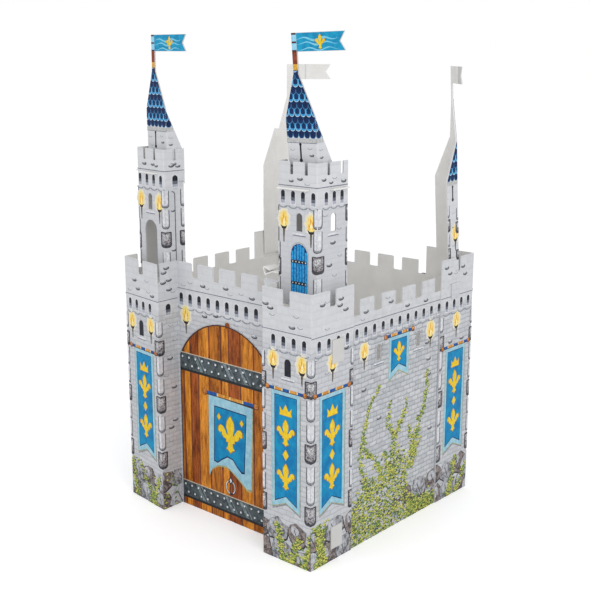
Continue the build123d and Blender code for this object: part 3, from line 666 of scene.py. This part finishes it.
class CASTLE_OT_towers(bpy.types.Operator):
    """Prints the faces of the four towers"""
    bl_idname = "castle.towers"
    bl_label = "Towers"

    def execute(self, context):
        sheet = Printing("tower_print")
        tower_front(sheet, "right_front", TOWER, False)
        tower_side(sheet, "right_side", TOWER)
        # The left tower's front slants back by 23 mm
        tower_front(sheet, "left_front", math.hypot(TOWER, 23), True)
        tower_side(sheet, "left_side", LEFT_SIDE)
        for face, fold, side in (("left_return", 0, 1), ("right_return", RETURN, -1)):
            sheet.face(face)
            crown_line(sheet, RETURN, 617)
            arcade(sheet, [38], 574, 606, 18)
            quoins(sheet, fold, side, TOWER_STONES)
        tower_side(sheet, "far_side", TOWER)
        tower_side(sheet, "back_left_side", TOWER)
        tower_front(sheet, "back", TOWER, True)
        tower_front(sheet, "back", TOWER, False, TOWER + WALL)
        sheet.make()
        return {"FINISHED"}


class CASTLE_OT_walls(bpy.types.Operator):
    """Prints the gate wall and the long walls: arcade, torches, sills and banner"""
    bl_idname = "castle.walls"
    bl_label = "Walls"

    def execute(self, context):
        sheet = Printing("wall_print")
        sheet.face("gate")
        crown_line(sheet, WALL, 647)
        arcade(sheet, [16 + 36 * i for i in range(11)], 600, 635, 14, WALL)
        torch(sheet, 33, 602, 553, 519)
        torch(sheet, 352, 596, 550, 517)
        self.long_wall(sheet, "right_wall", (113, 293))
        self.long_wall(sheet, "left_wall", (101, 281))
        self.long_wall(sheet, "back", (113, 293), TOWER)
        sheet.make()
        return {"FINISHED"}

    def long_wall(self, sheet, face, windows, shift=0):
        """A wall between two towers; only the back's windows are printed, and the others are cut."""
        sheet.face(face, shift=shift)
        crown_line(sheet, WALL, 613)
        arcade(sheet, [17 + 37.1 * i for i in range(11)], 573, 603, 13, WALL)
        torch(sheet, 50, 563, 518, 488)
        torch(sheet, 350, 564, 514, 484)
        for start, end in ((0, 6), (WALL - 5, WALL)):
            sheet.add("fold_shade", box_shape(start, end, 0, 600))
        for middle in windows:
            window(sheet, middle, 499, 544, 20, face == "back")
            for y in (508, 521, 534):
                sheet.add("fold_shade", box_shape(middle - 17, middle - 12, y, y + 9), 0.18)
                sheet.add("fold_shade", box_shape(middle + 12, middle + 17, y, y + 9), 0.18)
        for tone, wider, top, tip, fork, level in (
                ("banner_edge", 11, 549, 427, 451, 0.18), ("banner_hem", 10, 550, 431, 454, 0.22),
                ("banner_seam", 0, 541, 452, 470, 0.26), ("banner_blue", -1.6, 539.5, 456, 472, 0.3)):
            sheet.add(tone, swallowtail(167 - wider, 237 + wider, top, tip, fork), level)
        gilded(sheet, LILY, 202, 477, 49, 57, 2, 4, 4)
        rod(sheet, 141, 265, 556)


class CASTLE_OT_gate(bpy.types.Operator):
    """Prints the gate: boards, iron straps with studs, its banner and the ring"""
    bl_idname = "castle.gate"
    bl_label = "Gate"

    def execute(self, context):
        centre, half, foot, top, radius = 185.0, 180.0, 1.5, 568.0, 199.0
        edge = math.acos(half / radius)
        angles = [edge + (math.pi - 2 * edge) * i / 20 for i in range(21)]
        head = [(centre + radius * math.cos(a), top - radius + radius * math.sin(a)) for a in angles]
        outline = [(centre - half, foot), (centre + half, foot)] + head
        sheet = Printing("gate_boards")
        sheet.face("gate", outline)
        edges = [4, 19, 48, 78, 124, 170, 200, 243, 293, 335, 366]
        tones = "brown orange red orange brown orange red orange brown red".split()
        sheet.add("pole_dark", box_shape(edges[0], edges[-1], 0, 580), 0.08)
        for left, right, tone in zip(edges, edges[1:], tones):
            sheet.add("board_red", box_shape(left + 1.2, right - 1.2, 0, 580))
            sheet.add("board_" + tone, box_shape(left + 3.5, right - 3.5, 0, 580), 0.18)
        sheet.face("gate")
        rim = [(x + (centre - x) * 0.025, y - 3.5) for x, y in head]
        for (a, b), (c, d) in zip(zip(head, head[1:]), zip(rim, rim[1:])):
            sheet.add("pole_dark", [a, b, d, c], 0.22)
        # Down the left jamb: the leaf's dark edge, and painted shade of the gap between leaf and jamb
        sheet.add("quoin_line", box_shape(centre - half, centre - half + 4.5, foot, head[-1][1]), 0.22)
        sheet.add("pole_dark", box_shape(centre + half - 3, centre + half, foot, head[0][1]), 0.22)
        sheet.add("board_red", disc_shape(197, 569, 9.5), 0.2)
        sheet.make()
        self.straps(outline)
        self.banner()
        return {"FINISHED"}

    def straps(self, outline):
        """Two studded straps with slanting gleams, and the ring on its plate."""
        sheet = Printing("gate_straps")
        sheet.face("gate", outline)
        straps = (416, 29)
        for low in straps:
            high = low + 45
            sheet.add("strap_dark", box_shape(0, 380, low - 7, high), 0.22)
            sheet.add("strap", box_shape(0, 380, low, high), 0.26)
            sheet.add("strap_edge", box_shape(0, 380, high, high + 2.5), 0.26)
            for i in range(14):
                for x, y in ((27 + i * 26.5, low + 11), (15 + i * 26.5, high - 11)):
                    sheet.add("strap_dark", disc_shape(x + 1, y - 1.5, 4.2, steps=10), 0.3)
                    sheet.add("stud", disc_shape(x, y, 3.4, steps=10), 0.34)
        for low in straps:
            sheet.face("gate", box_shape(6, 363, low + 2, low + 43))
            for x in (88, 205, 262):
                for start, wide in ((x, 12), (x + 19, 5)):
                    sheet.add("strap_sheen", [(start, low), (start + wide, low), (start + wide - 30, low + 46),
                                              (start - 30, low + 46)], 0.28)
        sheet.face("gate")
        for start in (-90, 90):
            sheet.add("opening_black", band_shape(201, 103, 19.5, 14.5, start, start + 180, 1.12, 12), 0.3)
            sheet.add("stud", band_shape(200.2, 104, 18.2, 15.8, start + 30, start + 170, 1.12, 12), 0.34)
        sheet.add("opening_black", mirror_shape(LOZENGE, 201, 112, 20, 24), 0.36)
        sheet.add("stud", mirror_shape(LOZENGE, 201, 117, 10, 14), 0.4)
        sheet.make()

    def banner(self):
        """A banner with a wavy foot, whose layers each have their own drawn outline."""
        sheet = Printing("gate_banner")
        sheet.face("gate")
        edge = [(115, 114), (127, 137), (152, 153), (184, 158), (206, 150), (233, 133), (265, 109), (284, 112),
                (290, 361), (117, 365)]
        sheet.add("pole_dark", [(x + 3.5, y - 5) for x, y in edge], 0.16)
        sheet.add("banner_edge", edge, 0.2)
        sheet.add("banner_hem", [(117, 120), (128, 142), (152, 158), (184, 163), (205, 155), (232, 139), (262, 117),
                                 (280, 118), (287, 361), (119, 366)], 0.26)
        sheet.add("banner_seam", [(135, 166), (150, 163), (168, 177), (190, 190), (210, 187), (226, 170), (244, 156),
                                  (256, 158), (265, 331), (140, 332)], 0.3)
        sheet.add("banner_blue", [(138, 170), (150, 167), (167, 181), (190, 194), (211, 191), (228, 174),
                                  (244, 161), (253, 163), (262, 328), (143, 329)], 0.36)
        gilded(sheet, LILY, 202, 206, 97, 108, 3, 7, 6, 0.42)
        for x in (158, 246):
            gilded(sheet, LOZENGE, x, 293, 14, 20, 2, 4, 4, 0.42)
        sheet.add("pole_dark", [(108, 360), (298, 355), (298, 358), (108, 363)], 0.3)
        rod(sheet, 104, 301, 365, 9, ("rod_blue", "rod_gold", "rod_gold", "rod_blue"))
        sheet.make()


class CASTLE_OT_foot(bpy.types.Operator):
    """Prints the rocks and the creeper along the foot of the walls"""
    bl_idname = "castle.foot"
    bl_label = "Foot"
    # Of the 32 levels over the board, the one that the last leaf lies on
    level = 0

    def execute(self, context):
        settings = context.scene.castle_print
        chance = random.Random(settings.seed)
        rocks = Printing("foot_rocks")
        creeper = Printing("foot_creeper")
        for face, width, height, leaves in (
                ("right_front", TOWER, 122, 420), ("right_side", TOWER, 122, 420), ("left_front", 165.6, 122, 300),
                ("left_return", RETURN, 120, 20), ("right_return", RETURN, 120, 60),
                ("left_side", LEFT_SIDE, 120, 300), ("far_side", TOWER, 128, 240), ("right_wall", WALL, 108, 0),
                ("left_wall", WALL, 108, 0), ("back", 2 * HALF, 118, 1500), ("back_left_side", TOWER, 122, 300)):
            clip = box_shape(0.5, width - 0.5, 0.5, 420)
            rocks.face(face, clip)
            # The long walls' left part is overgrown, so their rocks start further right
            self.boulders(rocks, chance, 235 if width == WALL else 0, width, height)
            creeper.face(face, clip)
            self.trails(creeper, chance, width, height, leaves)
        rocks.make()
        creeper.make()
        for side in ("right", "left"):
            creeper = Printing(side + "_wall_creeper")
            creeper.face(side + "_wall", box_shape(0.5, WALL - 0.5, 0.5, 460))
            self.strands(creeper, chance)
            self.bank(creeper, chance, settings.leaves)
            creeper.make()
        return {"FINISHED"}

    def boulders(self, sheet, chance, left, right, height):
        """Big craggy stones in two rows, the higher ones behind, each with a dark edge, a lit top and cracks."""
        count = 0
        for low, tall in ((height * 0.66, 34), (height * 0.12, 44)):
            x = left + chance.uniform(-15, 15)
            while x < right + 30:
                wide = chance.uniform(30, 52)
                turn = chance.uniform(0, 6)
                bumps = [chance.uniform(0.76, 1.1) for _ in range(12)]
                y = low + chance.uniform(-7, 7)
                tone = ("rock_brown", "rock_grey", "rock_brown", "rock_pale")[count % 4]
                lift = 0.012 * count % 0.24
                count += 1
                for ink_name, scale, dx, dy, level in (("rock_dark", 1.06, 0, 0, 0.12), (tone, 0.98, -1, 2.5, 0.124),
                                                       ("rock_pale", 0.42, -wide * 0.25, tall * 0.42, 0.128)):
                    outline = [(x + dx + wide * scale * b * math.cos(turn + i * math.radians(30)),
                                y + dy + tall * scale * b * math.sin(turn + i * math.radians(30)))
                               for i, b in enumerate(bumps)]
                    sheet.add(ink_name, outline, level + lift)
                for a, b, thick, level in (((-0.3, 0.5), (0.2, -0.7), 2.6, 0.131),
                                           ((0.1, -0.2), (0.6, 0.15), 1.8, 0.1348),
                                           ((-0.5, -0.1), (-0.1, -0.4), 1.6, 0.1346)):
                    crack = [(x + wide * u, y + tall * v) for u, v in (a, b)]
                    sheet.add("rock_dark", stroke_shape(*crack, thick), level + lift)
                x += wide * 1.62

    def leaf(self, sheet, chance, x, y, shade=0.1):
        """One leaf: a lozenge a few millimetres long on its shadow, on another level than the leaves before it."""
        self.level = (self.level + 7) % 32
        tone = chance.choice(["leaf_bright"] * 5 + ["leaf_mid"] * 3 + ["leaf_green"] * 2)
        if chance.random() < shade:
            tone = "leaf_dark"
        size = chance.uniform(0.37, 0.63) * bpy.context.scene.castle_print.leaf_size / MM
        turn = chance.uniform(-0.7, 0.7)
        across = Vector((math.cos(turn), math.sin(turn))) * size
        along = Vector((-across.y, across.x)) * 0.5
        at = Vector((x, y))
        layers = [(tone, at, 0.45)]
        if tone != "leaf_dark":
            layers.insert(0, ("leaf_dark", at + Vector((0.6, -1.7)), 0.42))
        for ink_name, middle, height in layers:
            corners = (middle + across, middle + along, middle - across, middle - along)
            sheet.add(ink_name, [tuple(corner) for corner in corners], height + 0.016 * self.level)

    def trails(self, sheet, chance, width, height, count):
        """Leaves climbing the boulders in a few slanting trails from the foot."""
        trails = [(chance.uniform(0.1, 0.9) * width, chance.uniform(-0.5, 0.5) * width,
                   chance.uniform(0.6, 1.0) * height) for _ in range(max(2, int(width / 45)))]
        for i in range(count):
            start, slant, reach = trails[i % len(trails)]
            t = chance.random() ** 1.4
            self.leaf(sheet, chance, start + slant * t + chance.gauss(0, 7), 3 + reach * t + chance.gauss(0, 3))

    def strands(self, sheet, chance):
        """Thin strands of creeper up the long wall."""
        lines = [[(117, 432), (104, 408), (80, 388), (66, 362), (61, 335), (52, 312), (49, 291), (52, 268), (70, 245),
                  (98, 232), (120, 200), (140, 150)],
                 [(169, 374), (163, 340), (160, 307), (180, 280), (192, 262), (182, 225), (168, 160)],
                 [(243, 358), (240, 335), (226, 315), (205, 292), (194, 262)],
                 [(342, 430), (336, 400), (340, 372), (330, 340), (327, 313), (306, 282), (295, 245), (276, 204),
                  (262, 150)],
                 [(256, 283), (262, 255), (274, 232), (284, 210), (275, 180)],
                 [(50, 285), (40, 250), (45, 210), (66, 160), (80, 120)],
                 [(140, 240), (150, 200), (178, 160)], [(212, 230), (196, 190), (180, 150)],
                 [(310, 232), (290, 190), (270, 150)]]
        for line in lines:
            steps = list(zip(line, line[1:]))
            for i, (a, b) in enumerate(steps):
                reach = (Vector(b) - Vector(a)).length
                spread = 2.5 + 6 * (i + 1) / len(steps)
                for _ in range(int(reach * (0.42 + 0.5 * i / len(steps)))):
                    t = chance.random()
                    self.leaf(sheet, chance, a[0] + (b[0] - a[0]) * t + chance.gauss(0, spread),
                              a[1] + (b[1] - a[1]) * t + chance.gauss(0, spread * 0.6))

    def bank(self, sheet, chance, count):
        """The thick growth along the wall's foot, highest under the strands."""
        for _ in range(count):
            x = chance.uniform(3, 391)
            crest = 80 + 85 * math.exp(-((x - 70) / 60) ** 2) + 130 * math.exp(-((x - 215) / 75) ** 2)
            if x > 255:
                crest *= 0.36
            self.leaf(sheet, chance, x, abs(crest * chance.random() ** 1.15 + 3 + chance.gauss(0, 11)), 0.24)


class CASTLE_OT_turrets(bpy.types.Operator):
    """Prints the two front turrets"""
    bl_idname = "castle.turrets"
    bl_label = "Turrets"

    def execute(self, context):
        sheet = Printing("turret_print")
        for side, torches, front_reach, fold_reach in (("right", (18, 106), 16, 28), ("left", (14, 100), 21, 21)):
            right = side == "right"
            middle = 68 if right else 57
            self.face(sheet, side + "_turret_front", TURRET_FRONT,
                      [15, 48, 80, 113] if right else [12, 45, 77, 110])
            torch(sheet, torches[0], 913, 868, 830)
            torch(sheet, torches[1], 909, 863, 825)
            window(sheet, middle, 861, 906, 20, False)
            quoins(sheet, TURRET_FRONT, -1, TURRET_STONES, front_reach)
            quoins(sheet, 0, 1, [(790, 830, False), (745, 790, True), (700, 742, False)], 9)
            if right:
                self.blue_door(sheet, middle)
            self.face(sheet, side + "_turret_side", TURRET_SIDE, [34, 64, 94] if right else [23, 53, 83])
            window(sheet, 62 if right else 55, 861, 906, 20, False)
            for x, hand in ((0, 1), (TURRET_SIDE, -1)):
                if (x == 0) == right:
                    quoins(sheet, x, hand, TURRET_STONES, fold_reach)
                else:
                    quoins(sheet, x, hand, [(880, 922, True), (828, 866, False), (768, 812, True),
                                            (715, 756, False)], 9)
            sheet.face(side + "_turret_return")
            crown_line(sheet, TURRET_RETURN, 971)
            arcade(sheet, [33 if right else 37], 927, 959, 18)
            if right:
                quoins(sheet, TURRET_RETURN, -1, TURRET_STONES, 14)
                continue
            quoins(sheet, 0, 1, TURRET_STONES, fold_reach)
            small_stone(sheet, 27, 862, 14)
            small_stone(sheet, 27, 752, 16)
            # The return's cut edge, with painted shade of the gap behind it down its side and round its head, and the
            # spire's leg beside it
            sheet.add("quoin_line", box_shape(33.5, 35.8, 695, 905), 0.3)
            sheet.add("quoin_line", band_shape(25, 905, 10.8, 8.5, 0, 90), 0.3)
            sheet.face("left_spire_right")
            quoins(sheet, WING, -1, TURRET_STONES, 17)
        sheet.make()
        return {"FINISHED"}

    def face(self, sheet, name, width, arches):
        """The line and the arcade under a turret's crown."""
        sheet.face(name)
        crown_line(sheet, width, 971)
        arcade(sheet, arches, 927, 959, 12.5, width)

    def blue_door(self, sheet, middle):
        """The closed door: six boards under a round head, and two studded straps."""
        foot, top, half = 702.0, 830.5, 27.0
        sheet.add("door_blue_dark", arch_shape(middle, 2 * half, foot, top), 0.15)
        for i in range(6):
            left = middle - half + 1.4 + i * 8.9
            right = left + 6.8
            reach = max(abs(left - middle), abs(right - middle))
            crest = top - half + math.sqrt(max(half ** 2 - reach ** 2, 0)) - 1
            sheet.add("door_blue", box_shape(left, right, foot, crest), 0.22)
        for low in (727, 781):
            sheet.add("strap_dark", box_shape(middle - half, middle + half - 3, low, low + 8), 0.28)
            for i in range(5):
                sheet.add("stud", disc_shape(middle - half + 6 + i * 10.5, low + 4, 1.8, steps=8), 0.33)


# Each spire's shoulder, roof's foot, middle of its pole, how far its right shoulder is set in, top of its pole, reach
# and height of its flag, and the side that the flag flies to
SPIRES = [("right_spire", 1135, 1086, 41.3, 0, 1332, 154, 43.5, 1),
          ("left_spire", 1135, 1088, 41.3, 0, 1332, 154, 43.5, 1),
          ("back_right", 1050, 940, 47.5, 13, 1250, 130, 46, -1),
          ("back_left", 1050, 940, 47.5, 13, 1250, 130, 46, -1)]


class CASTLE_OT_roofs(bpy.types.Operator):
    """Prints the spires: rows of roof scales, the band, the arrow slits and the stones"""
    bl_idname = "castle.roofs"
    bl_label = "Roofs"

    def execute(self, context):
        for name, shoulder, foot, pole, step, *_ in SPIRES:
            sheet = Printing(name + "_roof")
            tip = shoulder + SHOULDER_TO_TIP
            middle = name + "_middle"
            sheet.face(middle, [(1, foot), (94, foot), (94, shoulder), (1, shoulder)])
            self.scales(sheet, SPIRE, foot, shoulder, foot)
            sheet.face(middle, [(1, shoulder), (94 - step, shoulder), (pole + 7.5, tip), (pole - 7.5, tip)])
            self.scales(sheet, SPIRE, shoulder, tip, foot)
            sheet.face(middle, box_shape(pole - 7, pole + 7, tip, tip + 9))
            self.scales(sheet, SPIRE, tip, tip + 9, foot)
            # Each wing slopes down 110 mm from the shoulder to its outer edge
            rise = (foot - (shoulder - 110)) / 110 * WING
            sheet.face(name + "_left", [(rise + 0.5, foot), (51.5, foot), (51.5, shoulder - 3)])
            self.scales(sheet, WING, foot, shoulder, foot)
            sheet.face(name + "_right", [(0.5, foot), (51.5 - rise, foot), (0.5, shoulder - 3)])
            self.scales(sheet, WING, foot, shoulder, foot)
            self.drum(sheet, name, foot, rise)
            sheet.make()
        return {"FINISHED"}

    def scales(self, sheet, width, low, high, foot):
        """Overlapping round-footed scales, the higher rows over the lower ones, navy and sky by turns. Each has a
        rim, a field and a core, every one set in further than the one before."""
        tall, wide = 17.4, 18.0
        turns = [math.pi + math.pi * k / 8 for k in range(9)]
        for row in range(int((high - foot) / tall) + 1, -1, -1):
            y = foot + row * tall
            if y > high + 4 or y + 2 * tall < low:
                continue
            tones = ("scale_rim", "scale_sky", "scale_deep") if row % 2 else ("scale_mid", "scale_deep", "scale_navy")
            count = int(width / wide) + 3
            for i in range(count):
                x = width / 2 + (i - count // 2 + (0.5 if row % 2 else 0)) * wide
                for tone, inset, height in zip(tones, (0, 1.6, 6.5), (0.12, 0.14, 0.16)):
                    half, deep = wide / 2 - inset * 0.4, 9.5 - inset
                    edge = half if tone == tones[2] else wide / 2
                    body = [(x + half * math.cos(a), y + 8 + deep * math.sin(a)) for a in turns]
                    body += [(x + edge, y + 12 + inset), (x + edge, y + tall + 10), (x - edge, y + tall + 10),
                             (x - edge, y + 12 + inset)]
                    sheet.add(tone, body, height + 0.06 * row)

    def drum(self, sheet, name, foot, rise):
        """The band under the roof, the arrow slit and the drawn stones."""
        front = "spire" in name
        sheet.face(name + "_middle")
        sheet.add("roof_band", box_shape(1, 94, foot - 11, foot - 0.5), 0.15)
        sheet.add("stone_line", box_shape(1, 94, foot - 12, foot - 10.5), 0.2)
        self.slit(sheet, 42, foot - 53, foot - 15)
        for x, y in ((16, -26), (72, -22), (76, -40), (22, -48), (12, -66), (70, -62), (86, -70)):
            small_stone(sheet, x, foot + y, 15, y in (-40, -66, -62))
        if not front:
            torch(sheet, 20, foot - 120, foot - 165, foot - 200)
            torch(sheet, 78, foot - 120, foot - 165, foot - 200)
            window(sheet, 47.5, foot - 170, foot - 125, 18)
            for row in range(5):
                small_stone(sheet, 18 + 60 * (row % 2), foot - 205 - row * 22, 18, row % 2 == 0)
        for side in ("_left", "_right"):
            sheet.face(name + side)
            left, right = (rise + 0.5, 51.5) if side == "_left" else (0.5, 51.5 - rise)
            sheet.add("roof_band", box_shape(left, right, foot - 11, foot - 0.5), 0.15)
            if front:
                for y in (-26, -46, -64):
                    small_stone(sheet, (left + right) / 2 + (y % 4) * 3 - 4, foot + y, 13, y == -46)
                continue
            self.slit(sheet, 26, foot - 52, foot - 16)
            fold, turn = (WING, -1) if side == "_left" else (0, 1)
            quoins(sheet, fold, turn, [(foot - 112, foot - 78, False), (foot - 150, foot - 116, True),
                                       (foot - 226, foot - 196, True)], 14)
            quoins(sheet, WING - fold, -turn, [(foot - 100, foot - 66, False), (foot - 140, foot - 104, True),
                                               (foot - 182, foot - 146, False), (foot - 220, foot - 186, True)], 12)
            for y in (-88, -130, -180):
                small_stone(sheet, 26, foot + y, 14, y == -130)
            torch(sheet, fold + turn * 16, foot - 122, foot - 166, foot - 198)

    def slit(self, sheet, x, low, high):
        """A narrow arrow slit with a round end at its foot and its head."""
        sheet.add("opening_black", box_shape(x - 2.5, x + 2.5, low, high), 0.24)
        sheet.add("opening_black", disc_shape(x, low, 5, steps=10), 0.25)
        sheet.add("opening_black", disc_shape(x, high, 4, steps=10), 0.25)


class CASTLE_OT_flags(bpy.types.Operator):
    """Prints the poles and the swallow-tailed flags"""
    bl_idname = "castle.flags"
    bl_label = "Flags"

    def execute(self, context):
        for name, shoulder, _, pole, _, top, reach, flag, hand in SPIRES:
            sheet = Printing(name + "_flag")
            sheet.face(name + "_middle")
            tip, low = shoulder + SHOULDER_TO_TIP, top - flag
            left, right = pole - 7, pole + 7
            sheet.add("collar_gold", box_shape(left, right, tip + 9, tip + 24), 0.2)
            sheet.add("gold_shade", box_shape(left, right, tip + 9, tip + 11), 0.24)
            sheet.add("pole_brown", box_shape(left, right, tip + 24, low + 1), 0.2)
            sheet.add("pole_tie", box_shape(left, right, low + 1, top - 0.8), 0.2)
            for y in (top - 4.5, low + flag / 2 - 2.2, low):
                sheet.add("pole_dark", box_shape(left, right, y, y + 4.2), 0.26)
            start, end = pole + hand * 8, pole + hand * (reach - 1)
            cloth = [(start, low + 0.8), (end, low + 0.8), (end - hand * 15, low + flag / 2), (end, top - 0.8),
                     (start, top - 0.8)]
            sheet.add("flag_blue", cloth, 0.2)
            for k, base in enumerate((low + 7, low + 20, top - 13)):
                self.wave(sheet, start, end - hand * 18, base, 3.2, 3.6 + k * 0.8)
            gilded(sheet, LILY, (start + end) / 2, low + 4.5, 31, flag - 9, 1, 3, 2)
            sheet.make()
        return {"FINISHED"}

    def wave(self, sheet, start, end, base, height, thick):
        """One light ripple along the flag."""
        steps = 16
        line = [(start + (end - start) * i / steps, base + height * math.sin(i * 0.85 + thick))
                for i in range(steps + 1)]
        lower = [(x, y - thick * math.sin(math.pi * (i + 0.2) / (steps + 0.4))) for i, (x, y) in enumerate(line)]
        sheet.add("flag_wave", line + lower[::-1], 0.26)


class CASTLE_OT_stones(bpy.types.Operator):
    """Scatters the small shaded stones over the drawn stonework"""
    bl_idname = "castle.stones"
    bl_label = "Stones"

    def execute(self, context):
        chance = random.Random(context.scene.castle_print.seed + 1)
        sheet = Printing("scattered_stones")
        for face, stones in SINGLE_STONES.items():
            sheet.face(face)
            for x, y, dark in stones:
                small_stone(sheet, x, y, 22 if dark else 19, dark)
        # Elsewhere they are strewn: face, left, right, low, high and how many
        for face, left, right, low, high, count in (
                ("left_side", 12, 130, 628, 676, 5), ("right_return", 14, 60, 630, 700, 5),
                ("left_wall", 14, 384, 619, 636, 8), ("left_wall", 14, 384, 200, 470, 15),
                ("back", 14, 710, 622, 636, 14), ("back", 190, 540, 170, 560, 22),
                ("back_left_side", 14, 150, 622, 676, 7), ("right_turret_front", 16, 112, 980, 992, 3),
                ("right_turret_side", 16, 104, 980, 994, 4), ("left_turret_front", 16, 112, 980, 992, 3),
                ("left_turret_return", 14, 60, 980, 994, 3), ("left_turret_side", 22, 104, 720, 840, 5)):
            sheet.face(face)
            for i in range(count):
                x = left + (right - left) * (i + chance.uniform(0.15, 0.85)) / count
                small_stone(sheet, x, chance.uniform(low, high), chance.uniform(15, 21), chance.random() < 0.6)
        sheet.make()
        return {"FINISHED"}


class CASTLE_OT_stage(bpy.types.Operator):
    """Sets the pale floor, the soft lamps and the camera"""
    bl_idname = "castle.stage"
    bl_label = "Stage"

    def execute(self, context):
        settings = context.scene.castle_stage
        context.scene.view_settings.view_transform = "Standard"
        bm = bmesh.new()
        bmesh.ops.create_circle(bm, cap_ends=True, segments=64, radius=settings.floor_size)
        mesh = bpy.data.meshes.new("floor")
        bm.to_mesh(mesh)
        bm.free()
        floor = bpy.data.objects.new("floor", mesh)
        context.scene.collection.objects.link(floor)
        # White seamless paper: matt, a little lighter to the camera so that it meets the background
        material, tree = new_material("floor_paper")
        paper = node(tree, "BsdfDiffuse", Color=linear("f4f4f4"))
        glow = node(tree, "Emission", Color=linear("ffffff"), Strength=0.3)
        lit = node(tree, "AddShader", _0=paper, _1=glow)
        seen = node(tree, "MixShader", _0=node(tree, "LightPath").outputs["Is Camera Ray"], _1=paper, _2=lit)
        node(tree, "OutputMaterial", Surface=seen)
        mesh.materials.append(material)
        self.world(context, settings)
        self.lamp(context, "key_lamp", (4.2, -2.2, 3.4), 3.4, settings.key)
        self.lamp(context, "fill_lamp", (-1.6, -4.4, 2.6), 3.0, settings.fill)
        self.camera(context)
        return {"FINISHED"}

    def world(self, context, settings):
        """Even light on the object; white to the camera, and in gloss and glass."""
        world = context.scene.world = bpy.data.worlds.new("studio")
        world.use_nodes = True
        tree = world.node_tree
        tree.nodes.clear()
        rays = node(tree, "LightPath").outputs
        mirrored = node(tree, "Math", operation="MAXIMUM", _0=rays["Is Glossy Ray"], _1=rays["Is Transmission Ray"])
        seen = node(tree, "Math", operation="MAXIMUM", _0=rays["Is Camera Ray"], _1=mirrored)
        even = node(tree, "Background", Color=linear("fdfdff"), Strength=settings.sky)
        white = node(tree, "Background", Color=linear("ffffff"), Strength=1.0)
        both = node(tree, "MixShader", _0=seen, _1=even, _2=white)
        node(tree, "OutputWorld", Surface=both)

    def lamp(self, context, name, place, size, power):
        """A soft round lamp turned to the castle's middle."""
        data = bpy.data.lights.new(name, "AREA")
        data.shape, data.size, data.energy = "DISK", size, power
        lamp = bpy.data.objects.new(name, data)
        lamp.location = place
        lamp.rotation_euler = (Vector((0, 0, 0.6)) - Vector(place)).to_track_quat("-Z", "Y").to_euler()
        context.scene.collection.objects.link(lamp)

    def camera(self, context):
        """The photograph's own view: fitted place, direction and lens."""
        right = Vector((0.749, 0.6625, 0)).normalized()
        ahead = Vector((-0.6442, 0.7285, -0.2328)).normalized()
        turn = Matrix((right, right.cross(ahead), -ahead)).transposed().to_4x4()
        turn.translation = FROM_CASTLE @ Vector((1932, -2195, 1290))
        data = bpy.data.cameras.new("camera")
        data.sensor_fit, data.sensor_height, data.lens = "VERTICAL", 36.0, 62.48
        camera = bpy.data.objects.new("camera", data)
        camera.matrix_world = turn
        context.scene.collection.objects.link(camera)
        context.scene.camera = camera


OPERATORS = [CASTLE_OT_card, CASTLE_OT_towers, CASTLE_OT_walls, CASTLE_OT_gate, CASTLE_OT_foot, CASTLE_OT_turrets,
             CASTLE_OT_roofs, CASTLE_OT_flags, CASTLE_OT_stones, CASTLE_OT_stage]


class CASTLE_PT_panel(bpy.types.Panel):
    """Lists the castle's operators and settings"""
    bl_label = "Castle"
    bl_idname = "CASTLE_PT_panel"
    bl_space_type = "VIEW_3D"
    bl_region_type = "UI"
    bl_category = "Castle"

    def draw(self, context):
        for operator in OPERATORS:
            self.layout.operator(operator.bl_idname)
        for group in (context.scene.castle_print, context.scene.castle_stage):
            for name in group.__annotations__:
                self.layout.prop(group, name)


CLASSES = [CastleStage, CastlePrint, *OPERATORS, CASTLE_PT_panel]


def register():
    for cls in CLASSES:
        bpy.utils.register_class(cls)
    bpy.types.Scene.castle_stage = PointerProperty(type=CastleStage)
    bpy.types.Scene.castle_print = PointerProperty(type=CastlePrint)


def unregister():
    del bpy.types.Scene.castle_print
    del bpy.types.Scene.castle_stage
    for cls in reversed(CLASSES):
        bpy.utils.unregister_class(cls)


def main():
    register()
    for operator in OPERATORS:
        group, name = operator.bl_idname.split(".")
        getattr(getattr(bpy.ops, group), name)()
    bpy.context.view_layer.update()


if __name__ == "__main__":
    main()
